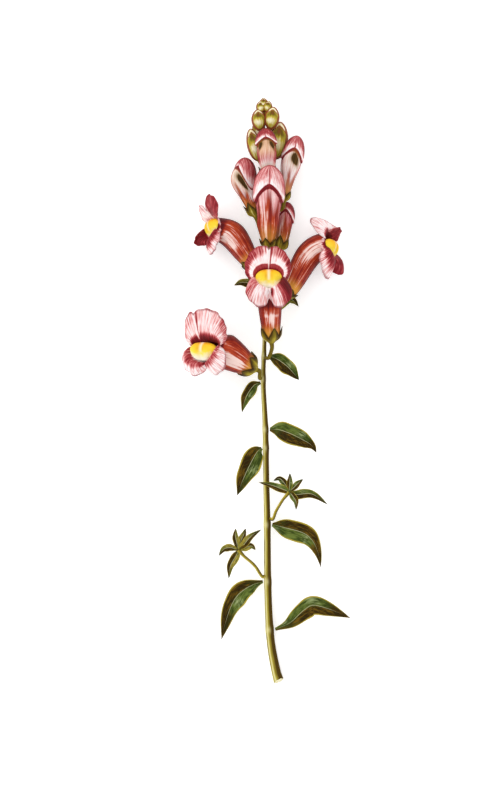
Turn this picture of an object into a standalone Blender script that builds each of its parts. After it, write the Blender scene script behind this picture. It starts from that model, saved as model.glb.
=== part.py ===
"""A cut snapdragon stem lying on its back, with open flowers, buds, leaves and two side shoots.

Metres, +Z up. The stem lies along +Y with its cut end at -Y. Its head is held up by two flowers
whose lips touch the surface, so it rests on three low points: those two flowers and the cut end.
The origin is on that surface, at the middle of the plant's outline.

Every size and place below is in millimetres, and mm() or a factor of MM turns it to metres.
Plan places count from a point on the stem's line, a little below its lowest flower.
"""

import math

import bmesh
import bpy
from mathutils import Matrix, Vector
from mathutils.bvhtree import BVHTree

MM = 0.001
GAP = 0.35
LEAF_GAP = 0.55
UP = Vector((0.0, 0.0, 1.0))

# Middle of the plant's outline in the plan, which is put at the origin.
OUTLINE_MIDDLE = (-0.42, 3.94)

# Stem: distance along Y, then X, height and width, from the cut end to the foot of the green tip.
STEM = (
    (-148.0, 5.7, 2.47, 4.94),
    (-132.6, 2.5, 3.2, 4.4),
    (-120.0, 1.0, 3.9, 4.0),
    (-95.7, 0.0, 5.3, 3.65),
    (-65.0, -0.3, 7.0, 3.4),
    (-42.6, -0.8, 8.3, 3.1),
    (-15.0, -1.25, 9.8, 2.85),
    (10.0, -2.4, 11.2, 2.4),
    (31.0, -1.8, 12.3, 2.1),
    (60.0, -1.5, 13.6, 2.0),
    (90.0, -1.5, 14.6, 1.9),
    (120.0, -1.8, 14.8, 1.7),
    (152.0, -2.4, 15.4, 1.2),
)
STEM_TOP = 124.0
STEM_END = 152.0
STEM_STATIONS = (-139.0, -130.0, -107.0, -80.0, -45.0, 0.0, 40.0, 60.0, 80.0, 102.0)
STEM_JOINTS = (-120.0, -94.8, -65.0, -25.0, -15.3, 11.0, 23.0)
JOINT_SWELL = 0.35
JOINT_REACH = 2.6
JOINT_STATION = 3.4
STEM_SIDES = 12
CUT_SLANT = 0.25

# Leaves: name, stem joint, side of the stem, spine places, width, edge wave, roll in degrees.
LEAVES = (
    ("leaf_lowest_right", -120.0, (1.0, 0.0, 0.2), ((11.4, -116.5, 6.0), (18.2, -110.2, 8.6),
     (23.4, -107.1, 9.6), (31.2, -108.9, 8.2), (37.4, -111.5, 5.4), (43.7, -114.4, 2.0)),
     8.6, 0.7, 8.0),
    ("leaf_lowest_left", -94.8, (-1.0, 0.0, 0.2), ((-8.5, -96.8, 7.6), (-14.9, -101.0, 8.6),
     (-19.1, -107.4, 7.6), (-22.3, -117.0, 4.8), (-24.4, -126.0, 1.6)), 8.2, 0.6, -8.0),
    ("leaf_middle_right", -65.0, (1.0, 0.0, 0.2), ((8.3, -66.5, 9.6), (18.0, -69.2, 10.6),
     (23.0, -73.4, 9.4), (26.0, -80.0, 6.6), (27.4, -87.0, 3.4)), 8.4, 0.7, 8.0),
    ("leaf_middle_left", -25.0, (-1.0, 0.0, 0.2), ((-6.0, -27.6, 11.2), (-10.1, -35.2, 11.6),
     (-13.6, -43.0, 10.0), (-16.2, -50.3, 7.4)), 8.8, 0.6, -6.0),
    ("leaf_upper_right", -15.3, (1.0, 0.0, 0.2), ((6.2, -14.6, 12.4), (12.8, -17.2, 13.8),
     (19.2, -22.4, 12.6), (25.0, -27.2, 9.6)), 8.4, 0.6, 8.0),
    ("leaf_highest_left", 9.0, (-0.9, 0.0, -0.6), ((-7.3, 7.6, 9.0), (-10.7, 2.9, 9.4),
     (-12.4, -1.4, 8.8), (-13.6, -6.8, 7.6)), 5.8, 0.4, -8.0),
    ("leaf_highest_right", 23.0, (1.0, 0.0, -0.2), ((4.7, 21.3, 13.0), (9.9, 17.6, 13.8),
     (13.6, 13.6, 12.6), (16.4, 10.2, 11.0)), 7.8, 0.5, 8.0),
    ("bract_left", 58.0, (-1.0, 0.0, -0.3), ((-8.8, 60.6, 12.6), (-13.8, 61.2, 13.6),
     (-17.9, 59.6, 13.2)), 4.2, 0.3, -8.0),
    ("bract_right", 45.0, (1.0, 0.0, -0.7), ((4.0, 48.0, 9.2), (10.4, 52.8, 7.4),
     (14.0, 52.4, 7.2), (16.8, 49.2, 7.0)), 4.2, 0.3, 8.0),
)
BLADE = 0.7
LEAF_FOLD = 18.0
LEAF_STALK = 1.3
LEAF_RIM = 0.2
LEAF_WIDEST = 0.82
LEAF_POINT = 1.15
WAVE_TURNS = 15.0
WAVE_SHIFT = 1.4
LEAF_STEPS = 12
BRACT_STEPS = 8
LEAF_ACROSS = 4

# Side shoots: name, stem joint, side, stalk places, then the whorl's leaves with their widths.
SHOOTS = (
    ("shoot_right", -62.0, (0.8, 0.0, 0.6), ((4.4, -57.6, 10.4), (8.0, -51.6, 12.0),
     (11.0, -48.0, 12.6)), (
        (((8.6, -46.8, 13.4), (2.0, -44.4, 13.2), (-5.1, -42.8, 12.2)), 3.0),
        (((9.4, -44.6, 12.6), (6.2, -41.0, 12.0), (2.6, -42.2, 9.9)), 2.4),
        (((11.2, -44.6, 13.6), (11.4, -41.4, 13.6), (11.4, -37.9, 12.6)), 2.2),
        (((13.4, -45.6, 13.2), (16.0, -43.0, 13.2), (18.4, -41.1, 12.2)), 2.2),
        (((15.0, -49.2, 12.6), (23.0, -49.0, 13.0), (31.6, -54.8, 10.0)), 3.8),
        (((12.6, -49.6, 14.0), (14.6, -53.0, 13.4), (14.6, -57.4, 11.0)), 2.4),
    )),
    ("shoot_left", -92.0, (-0.8, 0.0, 0.6), ((-7.0, -86.4, 8.2), (-12.6, -81.4, 9.0),
     (-15.4, -78.2, 9.2)), (
        (((-19.4, -77.0, 10.0), (-23.0, -77.8, 9.0), (-25.8, -81.6, 6.6)), 2.8),
        (((-16.2, -74.6, 10.0), (-17.0, -70.6, 10.0), (-16.8, -66.8, 9.0)), 2.6),
        (((-14.4, -74.4, 9.4), (-12.8, -70.4, 9.2), (-11.5, -66.8, 8.4)), 2.6),
        (((-12.6, -75.4, 10.2), (-8.8, -71.0, 10.8), (-3.2, -67.4, 10.0)), 2.8),
        (((-12.4, -77.2, 9.8), (-8.6, -76.2, 9.4), (-6.4, -78.5, 7.8)), 2.6),
        (((-16.6, -81.2, 10.0), (-19.6, -86.6, 9.4), (-20.5, -93.6, 6.4)), 3.4),
    )),
)
SHOOT_STALK = 1.7
SHOOT_KNOT = 1.5
SHOOT_SIDES = 8
SHOOT_STEPS = 6
SHOOT_LEAF_STEPS = 6
SHOOT_LEAF_ACROSS = 2
SHOOT_LEAF_STALK = 1.1
SHOOT_WAVE = 0.15

# Open flowers: name, stem joint, side of the stem, foot, mouth, facing, upward, share of full
# size, height of the upper lip as a share of its usual height, and length of the sepals.
FLOWERS = (
    ("flower_front", 22.0, (0.7, 0.0, 0.8), (1.8, 31.2, 19.6), (0.3, 62.8, 31.0),
     (0.0, -0.05, 1.0), (0.0, 1.0, 0.0), 1.0, 1.0, 7.2),
    ("flower_lower_left", 11.4, (-0.7, 0.0, 0.7), (-8.4, 17.0, 15.0), (-31.6, 26.6, 22.6),
     (-0.64, -0.1, 0.76), (0.05, 1.0, 0.0), 1.08, 1.14, 6.8),
    ("flower_upper_left", 64.0, (-1.0, 0.0, 0.1), (-6.6, 69.5, 13.8), (-27.8, 89.6, 9.0),
     (-0.9, -0.1, 0.42), (0.1, 1.0, 0.0), 0.98, 1.0, 5.4),
    ("flower_right", 50.0, (1.0, 0.0, 0.5), (9.2, 54.8, 14.4), (29.6, 79.8, 9.0),
     (0.9, -0.1, 0.42), (-0.2, 1.0, 0.0), 1.02, 0.84, 5.4),
)
PETAL = 0.8
SETTLE = 0.12
FLOWER_SIDES = 30
FLOWER_TURN = -6.0
TUBE_FOOT = 2.7
TUBE_SWELL = 3.9
TUBE_FULL_AT = 0.6
TUBE_ROUND_END = 0.1
TUBE_START_HANDLE = 0.36
TUBE_END_HANDLE = 0.34
TUBE_BEND = 1.2
MOUTH_ROOF_FROM = 0.6
THROAT_SPREAD = 1.2
MOUTH_ROOF = 0.66
FACE_NARROW = 0.86
TUBE_STEPS = (0.0, 0.03, 0.1, 0.22, 0.4, 0.7, 1.0)
LIP_STEPS = (1.22, 1.48, 1.74, 2.0)

# Lobes, counted from the right side of the mouth round over the top: start and end angle,
# margin radius at each of the two notches, how far the lobe stands past them, and how far
# forward its tip is. The margin is LOBE_FULL as full as a half circle.
LOBES = (
    (-6.0, 90.0, 10.2, 13.6, 6.2, -1.6),
    (90.0, 186.0, 13.6, 10.2, 6.2, -1.6),
    (186.0, 258.0, 10.2, 12.6, 5.2, 4.6),
    (258.0, 282.0, 12.6, 12.6, -0.8, -1.0),
    (282.0, 354.0, 12.6, 10.2, 5.2, 4.6),
)
LOBE_FULL = 0.62
NOTCH_FORWARD = 1.0
THROAT_FORWARD = 4.0
LIP_FORWARD = 5.0

# Palate: the yellow cushion that swells up from the lower lip and shuts the mouth. Its middle
# stands forward of the mouth, and its half sizes are across, up, down, forward and back.
PALATE_FORWARD = 2.0
PALATE_RISE = 0.6
PALATE_HALVES = (7.2, 4.6, 6.4, 3.6, 4.0)
PALATE_SEAT = 0.5
PALATE_GROOVE = 0.2
PALATE_GROOVE_WIDTH = 0.2
PALATE_TRIES = 3
PALATE_SIDES = 16
PALATE_STEPS = 9

# Closed buds: name, stem joint, side of the stem, foot, middle, tip, width, turn of the hood.
BUDS = (
    ("bud_front", 72.0, (0.2, 0.0, 1.0), (0.0, 79.8, 19.0), (0.2, 98.0, 24.0),
     (1.0, 121.4, 29.5), 17.0, 90.0),
    ("bud_left", 89.0, (-1.0, 0.0, 0.2), (-6.8, 96.7, 14.6), (-10.2, 108.0, 14.2),
     (-12.3, 126.2, 15.4), 12.8, 60.0),
    ("bud_right", 97.0, (1.0, 0.0, 0.3), (8.3, 104.4, 16.6), (11.4, 118.0, 16.4),
     (15.6, 137.4, 17.4), 11.8, 120.0),
    ("bud_small_right", 73.0, (1.0, 0.0, -0.5), (6.4, 79.4, 11.6), (8.6, 90.0, 10.6),
     (9.9, 103.4, 10.4), 9.6, 100.0),
    ("bud_top", 110.0, (0.1, 0.0, 1.0), (0.0, 117.6, 19.6), (-0.6, 127.0, 22.0),
     (-1.6, 140.8, 24.6), 11.6, 90.0),
)
BUD_SIDES = 16
BUD_STEPS = (0.0, 0.04, 0.14, 0.32, 0.56, 0.8, 1.0, 1.001, 1.2, 1.45, 1.68, 1.86, 1.96, 2.0)
BUD_DEPTH = 0.85
BUD_FOOT = 0.42
BUD_TUBE = 0.74
BUD_ROUND_END = 0.07
BUD_SWELL = 0.34
BUD_HEAD = 0.4
BUD_CROWN = 0.72
HOOD_SIDE = 0.56
HOOD_FRONT = 0.8
HOOD_STEP = 0.14
HOOD_CREASE = 0.2
HOOD_CREASE_WIDTH = 0.16

# Calyx: the stalk and its five sepals, which hold the foot of a flower or a bud.
SEPALS = 5
SEPAL_SIDES = 15
SEPAL = 0.75
SEPAL_THIN = 0.35
SEPAL_FOOT = 0.012
SEPAL_POINT = 0.85
SEPAL_OUTER = (0.02, 0.36, 0.76, 1.0)
SEPAL_INNER = (1.0, 0.62, 0.34, 0.12)
CALYX_GAP = 0.45
SEPAL_NOTCH = 2.0
BUD_SEPAL_TIP = 5.6
BUD_SEPAL_NOTCH = 2.0
STALK_WIDTH = 1.8
STALK_FLARE = 0.35
STALK_STOP = 1.9
STALK_STEPS = 3
STALK_LEAVE = 0.22
STALK_ARRIVE = 0.3

# Green tip: each bud's joint on the stem, its foot, its tip and its width.
GREEN_BUDS = (
    (118.0, (-4.8, 124.4, 14.0), (-9.3, 141.2, 14.6), 6.8),
    (119.5, (3.6, 125.4, 12.8), (6.7, 145.0, 13.0), 9.2),
    (134.0, (-4.0, 140.0, 15.8), (-5.4, 151.2, 17.2), 6.8),
    (135.0, (0.6, 140.4, 16.4), (2.8, 152.4, 18.2), 7.3),
    (146.0, (-3.4, 149.2, 16.0), (-3.9, 155.4, 16.6), 4.4),
    (146.0, (-1.0, 149.4, 16.6), (0.4, 155.4, 17.4), 4.4),
    (149.0, (-2.3, 151.6, 15.8), (-2.4, 157.0, 16.2), 3.6),
    (130.0, (-3.6, 134.6, 13.4), (-6.6, 145.0, 11.2), 6.0),
    (131.0, (0.4, 135.6, 13.2), (3.4, 146.0, 11.0), 6.0),
    (127.0, (-2.0, 127.6, 11.6), (-2.6, 139.0, 7.8), 6.4),
    (140.0, (-2.2, 145.6, 13.2), (-2.4, 153.0, 12.0), 4.6),
)
GREEN_SIDES = 8
GREEN_STALK = 1.5
GREEN_SHARES = (0.0, 0.46, 0.53, 0.64, 0.8, 0.93, 0.985)
GREEN_WIDEST = 1.1
GREEN_FULL = 0.55
TIP_ROWS = 5
TIP_SIDES = 8
TIP_STEPS = 8
TIP_END = 0.7

COLOURS = {
    "stem_green": ((0.42, 0.40, 0.10, 1.0), 0.55),
    "leaf_green": ((0.10, 0.20, 0.06, 1.0), 0.5),
    "sepal_green": ((0.22, 0.27, 0.07, 1.0), 0.55),
    "petal_pink": ((0.72, 0.20, 0.24, 1.0), 0.5),
    "palate_yellow": ((0.95, 0.62, 0.05, 1.0), 0.55),
}


def mm(place):
    """Turns a place in millimetres into a vector in metres."""
    return Vector(place) * MM


def clear_scene():
    """Removes whatever objects the new file holds."""
    for item in list(bpy.data.objects):
        bpy.data.objects.remove(item, do_unlink=True)


def material(name):
    """Makes, or finds, the named finish."""
    found = bpy.data.materials.get(name)
    if found:
        return found
    colour, roughness = COLOURS[name]
    made = bpy.data.materials.new(name)
    made.use_nodes = True
    shader = made.node_tree.nodes["Principled BSDF"]
    shader.inputs["Base Color"].default_value = colour
    shader.inputs["Roughness"].default_value = roughness
    shader.inputs["Metallic"].default_value = 0.0
    made.diffuse_color = colour
    return made


def add_object(name, mesh_work, finish, plant, place=None, turn=None):
    """Makes a named object of a bmesh, at a place and a turn under the plant."""
    mesh = bpy.data.meshes.new(name)
    mesh_work.to_mesh(mesh)
    mesh_work.free()
    mesh.materials.append(material(finish))
    mesh.shade_smooth()
    mesh.set_sharp_from_angle(angle=math.radians(50.0))
    item = bpy.data.objects.new(name, mesh)
    bpy.context.scene.collection.objects.link(item)
    item.parent = plant
    if place is not None:
        item.location = place
    if turn is not None:
        item.rotation_euler = turn.to_euler()
    return item


def on_curve(places, share):
    """Returns the point at a share of the way along a smooth curve through the places."""
    last = len(places) - 1
    position = min(max(share, 0.0), 1.0) * last
    index = min(int(position), last - 1)
    step = position - index
    near, far = Vector(places[index]), Vector(places[index + 1])
    before = Vector(places[index - 1]) if index > 0 else near * 2.0 - far
    after = Vector(places[index + 2]) if index + 2 <= last else far * 2.0 - near
    near_slope = (far - before) * 0.5
    far_slope = (after - near) * 0.5
    square = step * step
    cube = square * step
    return (near * (2 * cube - 3 * square + 1) + near_slope * (cube - 2 * square + step)
            + far * (3 * square - 2 * cube) + far_slope * (cube - square))


def curve_way(places, share):
    """Returns the direction of a smooth curve through the places."""
    return (on_curve(places, share + 0.01) - on_curve(places, share - 0.01)).normalized()


def ease(value):
    """Turns a share into one that starts and ends gently."""
    share = min(max(value, 0.0), 1.0)
    return share * share * (3.0 - 2.0 * share)


def stem_row(distance):
    """Returns the stem's middle and half width, in metres, at a distance along Y."""
    rows = [(row[1], row[0], row[2], row[3]) for row in STEM]
    index = 0
    while index < len(rows) - 2 and rows[index + 1][1] < distance:
        index += 1
    near, far = Vector(rows[index]), Vector(rows[index + 1])
    before = Vector(rows[max(index - 1, 0)])
    after = Vector(rows[min(index + 2, len(rows) - 1)])
    length = far.y - near.y
    step = (distance - near.y) / length
    near_slope = (far - before) / (far.y - before.y) * length
    far_slope = (after - near) / (after.y - near.y) * length
    square = step * step
    cube = square * step
    found = (near * (2 * cube - 3 * square + 1) + near_slope * (cube - 2 * square + step)
             + far * (3 * square - 2 * cube) + far_slope * (cube - square))
    swell = sum(math.exp(-((distance - joint) / JOINT_REACH) ** 2) for joint in STEM_JOINTS)
    return mm((found.x, distance, found.z)), (found.w * 0.5 + JOINT_SWELL * swell) * MM


def beside_stem(joint, side, gap=GAP):
    """Returns the point just off the stem's skin, on the given side of a joint."""
    middle, half_width = stem_row(joint)
    return middle + Vector(side).normalized() * (half_width + gap * MM)


def pressed_ball(sides, steps, place, open_end=False):
    """Returns a ball whose points are moved to place(turn, step), step 0 being one pole."""
    work = bmesh.new()
    bmesh.ops.create_uvsphere(work, u_segments=sides, v_segments=steps, radius=1.0)
    found = []
    for vert in work.verts:
        down = math.acos(min(max(vert.co.z, -1.0), 1.0)) / math.pi * steps
        found.append((vert, math.atan2(vert.co.y, vert.co.x), steps - round(down)))
    for vert, turn, step in found:
        vert.co = place(turn, step)
    if open_end:
        pole = [vert for vert, turn, step in found if step == steps]
        bmesh.ops.delete(work, geom=pole, context="VERTS")
    return work


def lifted(surface, turn, along, lift):
    """Returns a surface's point, raised from it by a lift in metres."""
    small = 0.004
    around = surface(turn + small, along) - surface(turn - small, along)
    forward = surface(turn, along + small) - surface(turn, along - small)
    return surface(turn, along) + around.cross(forward).normalized() * lift


def ring_point(middle, way, half_width, turn):
    """Returns a point on a ring square to a way, with turn 90 degrees towards +Z."""
    across = UP.cross(way).normalized()
    above = way.cross(across).normalized()
    return middle + (across * math.cos(turn) + above * math.sin(turn)) * half_width


def build_stem(plant):
    """Builds the main stem: a tapering, slightly bent stalk, swollen at each joint."""
    first = STEM[0][0]
    stations = {first, STEM_TOP, *STEM_STATIONS}
    for joint in STEM_JOINTS:
        stations.update((joint - JOINT_STATION, joint, joint + JOINT_STATION))
    stations = sorted(stations)
    steps = len(stations) + 1

    def place(turn, step):
        distance = stations[min(max(step - 1, 0), len(stations) - 1)]
        middle, half_width = stem_row(distance)
        if step in (0, steps):
            return middle
        ahead = stem_row(distance + 1.0)[0]
        point = ring_point(middle, (ahead - middle).normalized(), half_width, turn)
        if step == 1:
            point.y += (point.x - middle.x) * CUT_SLANT
        point.z = max(point.z, 0.0)
        return point

    add_object("stem", pressed_ball(STEM_SIDES, steps, place), "stem_green", plant)


def leaf_blade(spine, width, wave, roll, stalk=LEAF_STALK, steps=LEAF_STEPS, across=LEAF_ACROSS):
    """Returns a waved blade along a spine, folded up along its midrib."""
    work = bmesh.new()
    bmesh.ops.create_grid(work, x_segments=steps, y_segments=across, size=1.0)
    fold = math.radians(LEAF_FOLD)
    tilt = math.radians(roll)
    for vert in work.verts:
        along = (vert.co.x + 1.0) * 0.5
        side = vert.co.y
        way = curve_way(spine, along)
        outward = UP.cross(way).normalized()
        face = way.cross(outward).normalized()
        outward, face = (outward * math.cos(tilt) + face * math.sin(tilt),
                         face * math.cos(tilt) - outward * math.sin(tilt))
        swell = max(math.sin(math.pi * min(along, 1.0) ** LEAF_WIDEST), 0.0) ** LEAF_POINT
        half = (stalk * (1.0 - along) ** 2 + width * swell) * 0.5 + LEAF_RIM
        rise = abs(side) * half * math.sin(fold)
        phase = along * WAVE_TURNS + (WAVE_SHIFT if side > 0.0 else 0.0)
        ripple = wave * side * side * math.sin(phase) * swell
        vert.co = (on_curve(spine, along) + outward * side * half * math.cos(fold)
                   + face * (rise + ripple)) * MM
    bmesh.ops.triangulate(work, faces=work.faces[:])
    work.normal_update()
    bmesh.ops.solidify(work, geom=work.faces[:], thickness=BLADE * MM)
    return work


def build_leaves(plant):
    """Builds each leaf and bract from its joint on the stem."""
    for name, joint, side, places, width, wave, roll in LEAVES:
        start = beside_stem(joint, side, LEAF_GAP) / MM
        spine = (tuple(start),) + places
        steps = BRACT_STEPS if name.startswith("bract") else LEAF_STEPS
        work = leaf_blade(spine, width, wave, roll, steps=steps)
        add_object(name, work, "leaf_green", plant)


def stalk_tube(places, half_start, half_end, sides, steps):
    """Returns a round stalk along the places, closed at both ends."""
    def place(turn, step):
        share = min(max((step - 1) / (steps - 2), 0.0), 1.0)
        middle = on_curve(places, share) * MM
        if step in (0, steps):
            return middle
        half = (half_start + (half_end - half_start) * share) * MM
        return ring_point(middle, curve_way(places, share), half, turn)
    return pressed_ball(sides, steps, place)


def fuse(name, works, finish, plant):
    """Joins closed meshes into the first of them with one Boolean union."""
    group = bpy.data.collections.new(name + "_pieces")
    bpy.context.scene.collection.children.link(group)
    trunk = add_object(name, works[0], finish, plant)
    for number, work in enumerate(works[1:]):
        piece = add_object(name + "_piece_" + str(number), work, finish, None)
        bpy.context.scene.collection.objects.unlink(piece)
        group.objects.link(piece)
        piece.parent = plant
    union = trunk.modifiers.new("union", "BOOLEAN")
    union.operation = "UNION"
    union.operand_type = "COLLECTION"
    union.collection = group
    union.solver = "EXACT"
    bpy.context.view_layer.update()
    joined = bpy.data.meshes.new_from_object(
        trunk.evaluated_get(bpy.context.evaluated_depsgraph_get()))
    trunk.modifiers.clear()
    trunk.data = joined
    for piece in list(group.objects):
        bpy.data.objects.remove(piece, do_unlink=True)
    bpy.data.collections.remove(group)
    return trunk


def build_shoots(plant):
    """Builds the two small side shoots, each a stalk with a whorl of narrow leaves."""
    for name, joint, side, stalk, blades in SHOOTS:
        start = beside_stem(joint, side) / MM
        leave = start + Vector(side).normalized() * SHOOT_STALK
        path = (tuple(start), tuple(leave)) + stalk
        half = SHOOT_STALK * 0.5
        knot = Vector(stalk[-1])
        knot_work = bmesh.new()
        bmesh.ops.create_icosphere(knot_work, subdivisions=1, radius=SHOOT_KNOT * MM,
                                   matrix=Matrix.Translation(knot * MM))
        works = [stalk_tube(path, half * 1.1, half, SHOOT_SIDES, SHOOT_STEPS), knot_work]
        for places, width in blades:
            spine = (tuple(knot),) + places
            works.append(leaf_blade(spine, width, SHOOT_WAVE, 0.0, stalk=SHOOT_LEAF_STALK,
                                    steps=SHOOT_LEAF_STEPS, across=SHOOT_LEAF_ACROSS))
        fuse(name, works, "leaf_green", plant)


def margin(turn):
    """Returns the lip's margin radius and how far forward it stands, at a turn in degrees."""
    angle = (turn - FLOWER_TURN) % 360.0 + FLOWER_TURN
    for start, end, near, far, stand, forward in LOBES:
        if start <= angle <= end:
            share = (angle - start) / (end - start)
            swell = math.sin(math.pi * share) ** LOBE_FULL if 0.0 < share < 1.0 else 0.0
            radius = near + (far - near) * share + stand * swell
            return radius, NOTCH_FORWARD + (forward - NOTCH_FORWARD) * swell
    return LOBES[0][2], NOTCH_FORWARD


def flower_surface(mouth, size, upper):
    """Returns a flower's outer skin as a function of turn and of distance along it.

    The mouth is a place in the flower's own frame, where the foot is the origin, +X is to the
    right, +Y up and +Z the way the flower faces. The distance is 0 at the foot, 1 at the mouth
    and 2 at the margin.
    """
    length = mouth.length
    start_way = mouth.normalized()
    end_way = (start_way + Vector((0.0, 0.0, TUBE_BEND))).normalized()
    handles = (Vector((0.0, 0.0, 0.0)), start_way * length * TUBE_START_HANDLE,
               mouth - end_way * length * TUBE_END_HANDLE, mouth)

    def middle(share):
        rest = 1.0 - share
        return (handles[0] * rest ** 3 + handles[1] * 3 * rest * rest * share
                + handles[2] * 3 * rest * share * share + handles[3] * share ** 3)

    def tube_point(turn, share):
        way = (middle(share + 0.01) - middle(share - 0.01)).normalized()
        right = Vector((1.0, 0.0, 0.0))
        right = (right - way * right.dot(way)).normalized()
        above = way.cross(right)
        half = TUBE_FOOT + TUBE_SWELL * math.sin(math.pi * 0.5 * min(share / TUBE_FULL_AT, 1.0))
        close = 1.0 - max(0.0, 1.0 - share / TUBE_ROUND_END) ** 2
        half *= math.sqrt(max(close, 0.0)) * size * MM
        rise = math.sin(turn) * half
        if rise > 0.0:
            roof = ease((share - MOUTH_ROOF_FROM) / (1.0 - MOUTH_ROOF_FROM))
            rise *= 1.0 - (1.0 - MOUTH_ROOF) * roof
        return middle(share) + right * math.cos(turn) * half + above * rise, way

    def surface(turn, along):
        if along <= 1.0:
            return tube_point(turn, max(along, 0.0))[0]
        rim, way = tube_point(turn, 1.0)
        spread = Vector((math.cos(turn) * FACE_NARROW, math.sin(turn), 0.0))
        radius, forward = margin(math.degrees(turn))
        radius *= 1.0 + (upper - 1.0) * max(math.sin(turn), 0.0)
        below = ease(0.5 - math.sin(turn) * 1.5)
        reach = THROAT_FORWARD + LIP_FORWARD * below
        edge = mouth + (spread * radius + Vector((0.0, 0.0, forward))) * size * MM
        bend = rim + (way * reach + spread * THROAT_SPREAD) * size * MM
        share = along - 1.0
        rest = 1.0 - share
        return rim * rest * rest + bend * 2 * rest * share + edge * share * share

    return surface


def press_down(work, turn, place, forward):
    """Folds what would reach under the surface back along it, away from where the flower faces."""
    matrix = Matrix.Translation(place) @ turn.to_4x4()
    back = matrix.inverted()
    flat_way = Vector((-forward.x, -forward.y, 0.0)).normalized()
    for vert in work.verts:
        point = matrix @ vert.co
        depth = PETAL * MM - point.z
        if depth > 0.0:
            point += flat_way * depth
            point.z = PETAL * MM
            vert.co = back @ point


def settle(work, turn, place):
    """Puts the underside of a petal that lies on the surface exactly on it."""
    matrix = Matrix.Translation(place) @ turn.to_4x4()
    back = matrix.inverted()
    for vert in work.verts:
        point = matrix @ vert.co
        if point.z < SETTLE * MM:
            point.z = 0.0
            vert.co = back @ point


def build_corolla(name, surface, place, turn, forward, plant):
    """Builds the petals: a thin tube with a two lobed upper and a three lobed lower lip."""
    distances = TUBE_STEPS + LIP_STEPS
    phase = math.radians(FLOWER_TURN)

    def point(angle, step):
        return surface(angle + phase, distances[min(step, len(distances) - 1)])

    work = pressed_ball(FLOWER_SIDES, len(distances), point, open_end=True)
    press_down(work, turn, place, forward)
    bmesh.ops.triangulate(work, faces=work.faces[:])
    work.normal_update()
    bmesh.ops.solidify(work, geom=work.faces[:], thickness=PETAL * MM)
    settle(work, turn, place)
    inside = BVHTree.FromBMesh(work)
    add_object(name + "_petals", work, "petal_pink", plant, place, turn)
    return inside


def build_palate(name, petals, mouth, size, place, turn, plant):
    """Builds the yellow cushion: a grooved ball that is pressed into the mouth of the petals."""
    across, up, down, front, back = (half * size * MM for half in PALATE_HALVES)
    seat = PALATE_SEAT * MM
    work = bmesh.new()
    bmesh.ops.create_uvsphere(work, u_segments=PALATE_SIDES, v_segments=PALATE_STEPS, radius=1.0)
    for vert in work.verts:
        side, rise, out = vert.co
        groove = 1.0 - PALATE_GROOVE * math.exp(-(side / PALATE_GROOVE_WIDTH) ** 2)
        flat = Vector((across * side, rise * (up if rise > 0.0 else down) * groove, 0.0))
        middle = mouth + Vector((0.0, PALATE_RISE * MM, PALATE_FORWARD * size * MM
                                 + out * (front if out > 0.0 else back) * groove))
        hit = petals.ray_cast(middle, flat.normalized())
        if hit[0] and hit[3] - seat < flat.length:
            flat *= max(hit[3] - seat, 0.0) / flat.length
        vert.co = middle + flat
        for attempt in range(PALATE_TRIES):
            near, normal, index, distance = petals.find_nearest(vert.co)
            if distance < seat and (vert.co - near).dot(normal) > 0.0:
                vert.co = near + (vert.co - near).normalized() * seat * 1.05
    bmesh.ops.triangulate(work, faces=work.faces[:])
    add_object(name + "_palate", work, "palate_yellow", plant, place, turn)


def build_calyx(name, surface, length, stalk_places, tip, notch, place, turn, plant):
    """Builds the stalk with its cup of five pointed sepals round the foot of a flower or bud."""
    foot_way = (surface(0.0, 0.3) + surface(math.pi, 0.3)).normalized()
    steps = 1 + STALK_STEPS + len(SEPAL_OUTER) + len(SEPAL_INNER)

    def reach(angle):
        sector = math.pi / SEPALS
        off = abs((angle + sector) % (2.0 * sector) - sector) / sector
        return (notch + (tip - notch) * (1.0 - off) ** SEPAL_POINT) * MM / length

    def point(angle, step):
        if step == 0:
            return on_curve(stalk_places, 0.0)
        if step <= STALK_STEPS:
            share = (step - 1) / (STALK_STEPS - 1)
            half = STALK_WIDTH * 0.5 * (1.0 + STALK_FLARE * share * share) * MM
            way = curve_way(stalk_places, share)
            right = Vector((1.0, 0.0, 0.0))
            right = (right - way * right.dot(way)).normalized()
            above = way.cross(right)
            return (on_curve(stalk_places, share)
                    + (right * math.cos(angle) + above * math.sin(angle)) * half)
        step -= STALK_STEPS + 1
        if step < len(SEPAL_OUTER):
            share = SEPAL_OUTER[step]
            thick = SEPAL * (1.0 - SEPAL_THIN * share)
            return lifted(surface, angle, max(reach(angle) * share, SEPAL_FOOT),
                          (CALYX_GAP + thick) * MM)
        step -= len(SEPAL_OUTER)
        if step < len(SEPAL_INNER):
            along = max(reach(angle) * SEPAL_INNER[step], SEPAL_FOOT)
            return lifted(surface, angle, along, CALYX_GAP * MM)
        return foot_way * -CALYX_GAP * MM

    work = pressed_ball(SEPAL_SIDES, steps, point)
    bmesh.ops.triangulate(work, faces=work.faces[:])
    add_object(name + "_calyx", work, "sepal_green", plant, place, turn)


def stalk_from_stem(joint, side, foot, foot_way, turn):
    """Returns a flower stalk's places in the flower's own frame, from the stem to its foot."""
    start = beside_stem(joint, side)
    leave = Vector(side).normalized()
    end = foot - foot_way * STALK_STOP * MM
    span = (end - start).length
    places = (start, start + leave * span * STALK_LEAVE, end - foot_way * span * STALK_ARRIVE, end)
    back = turn.inverted()
    return tuple(tuple(back @ (point - foot)) for point in places)


def facing_turn(forward, upward):
    """Returns the turn that takes +Z to the way a flower faces and +Y to its upper side."""
    front = forward.normalized()
    right = upward.cross(front).normalized()
    above = front.cross(right)
    return Matrix((right, above, front)).transposed()


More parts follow.
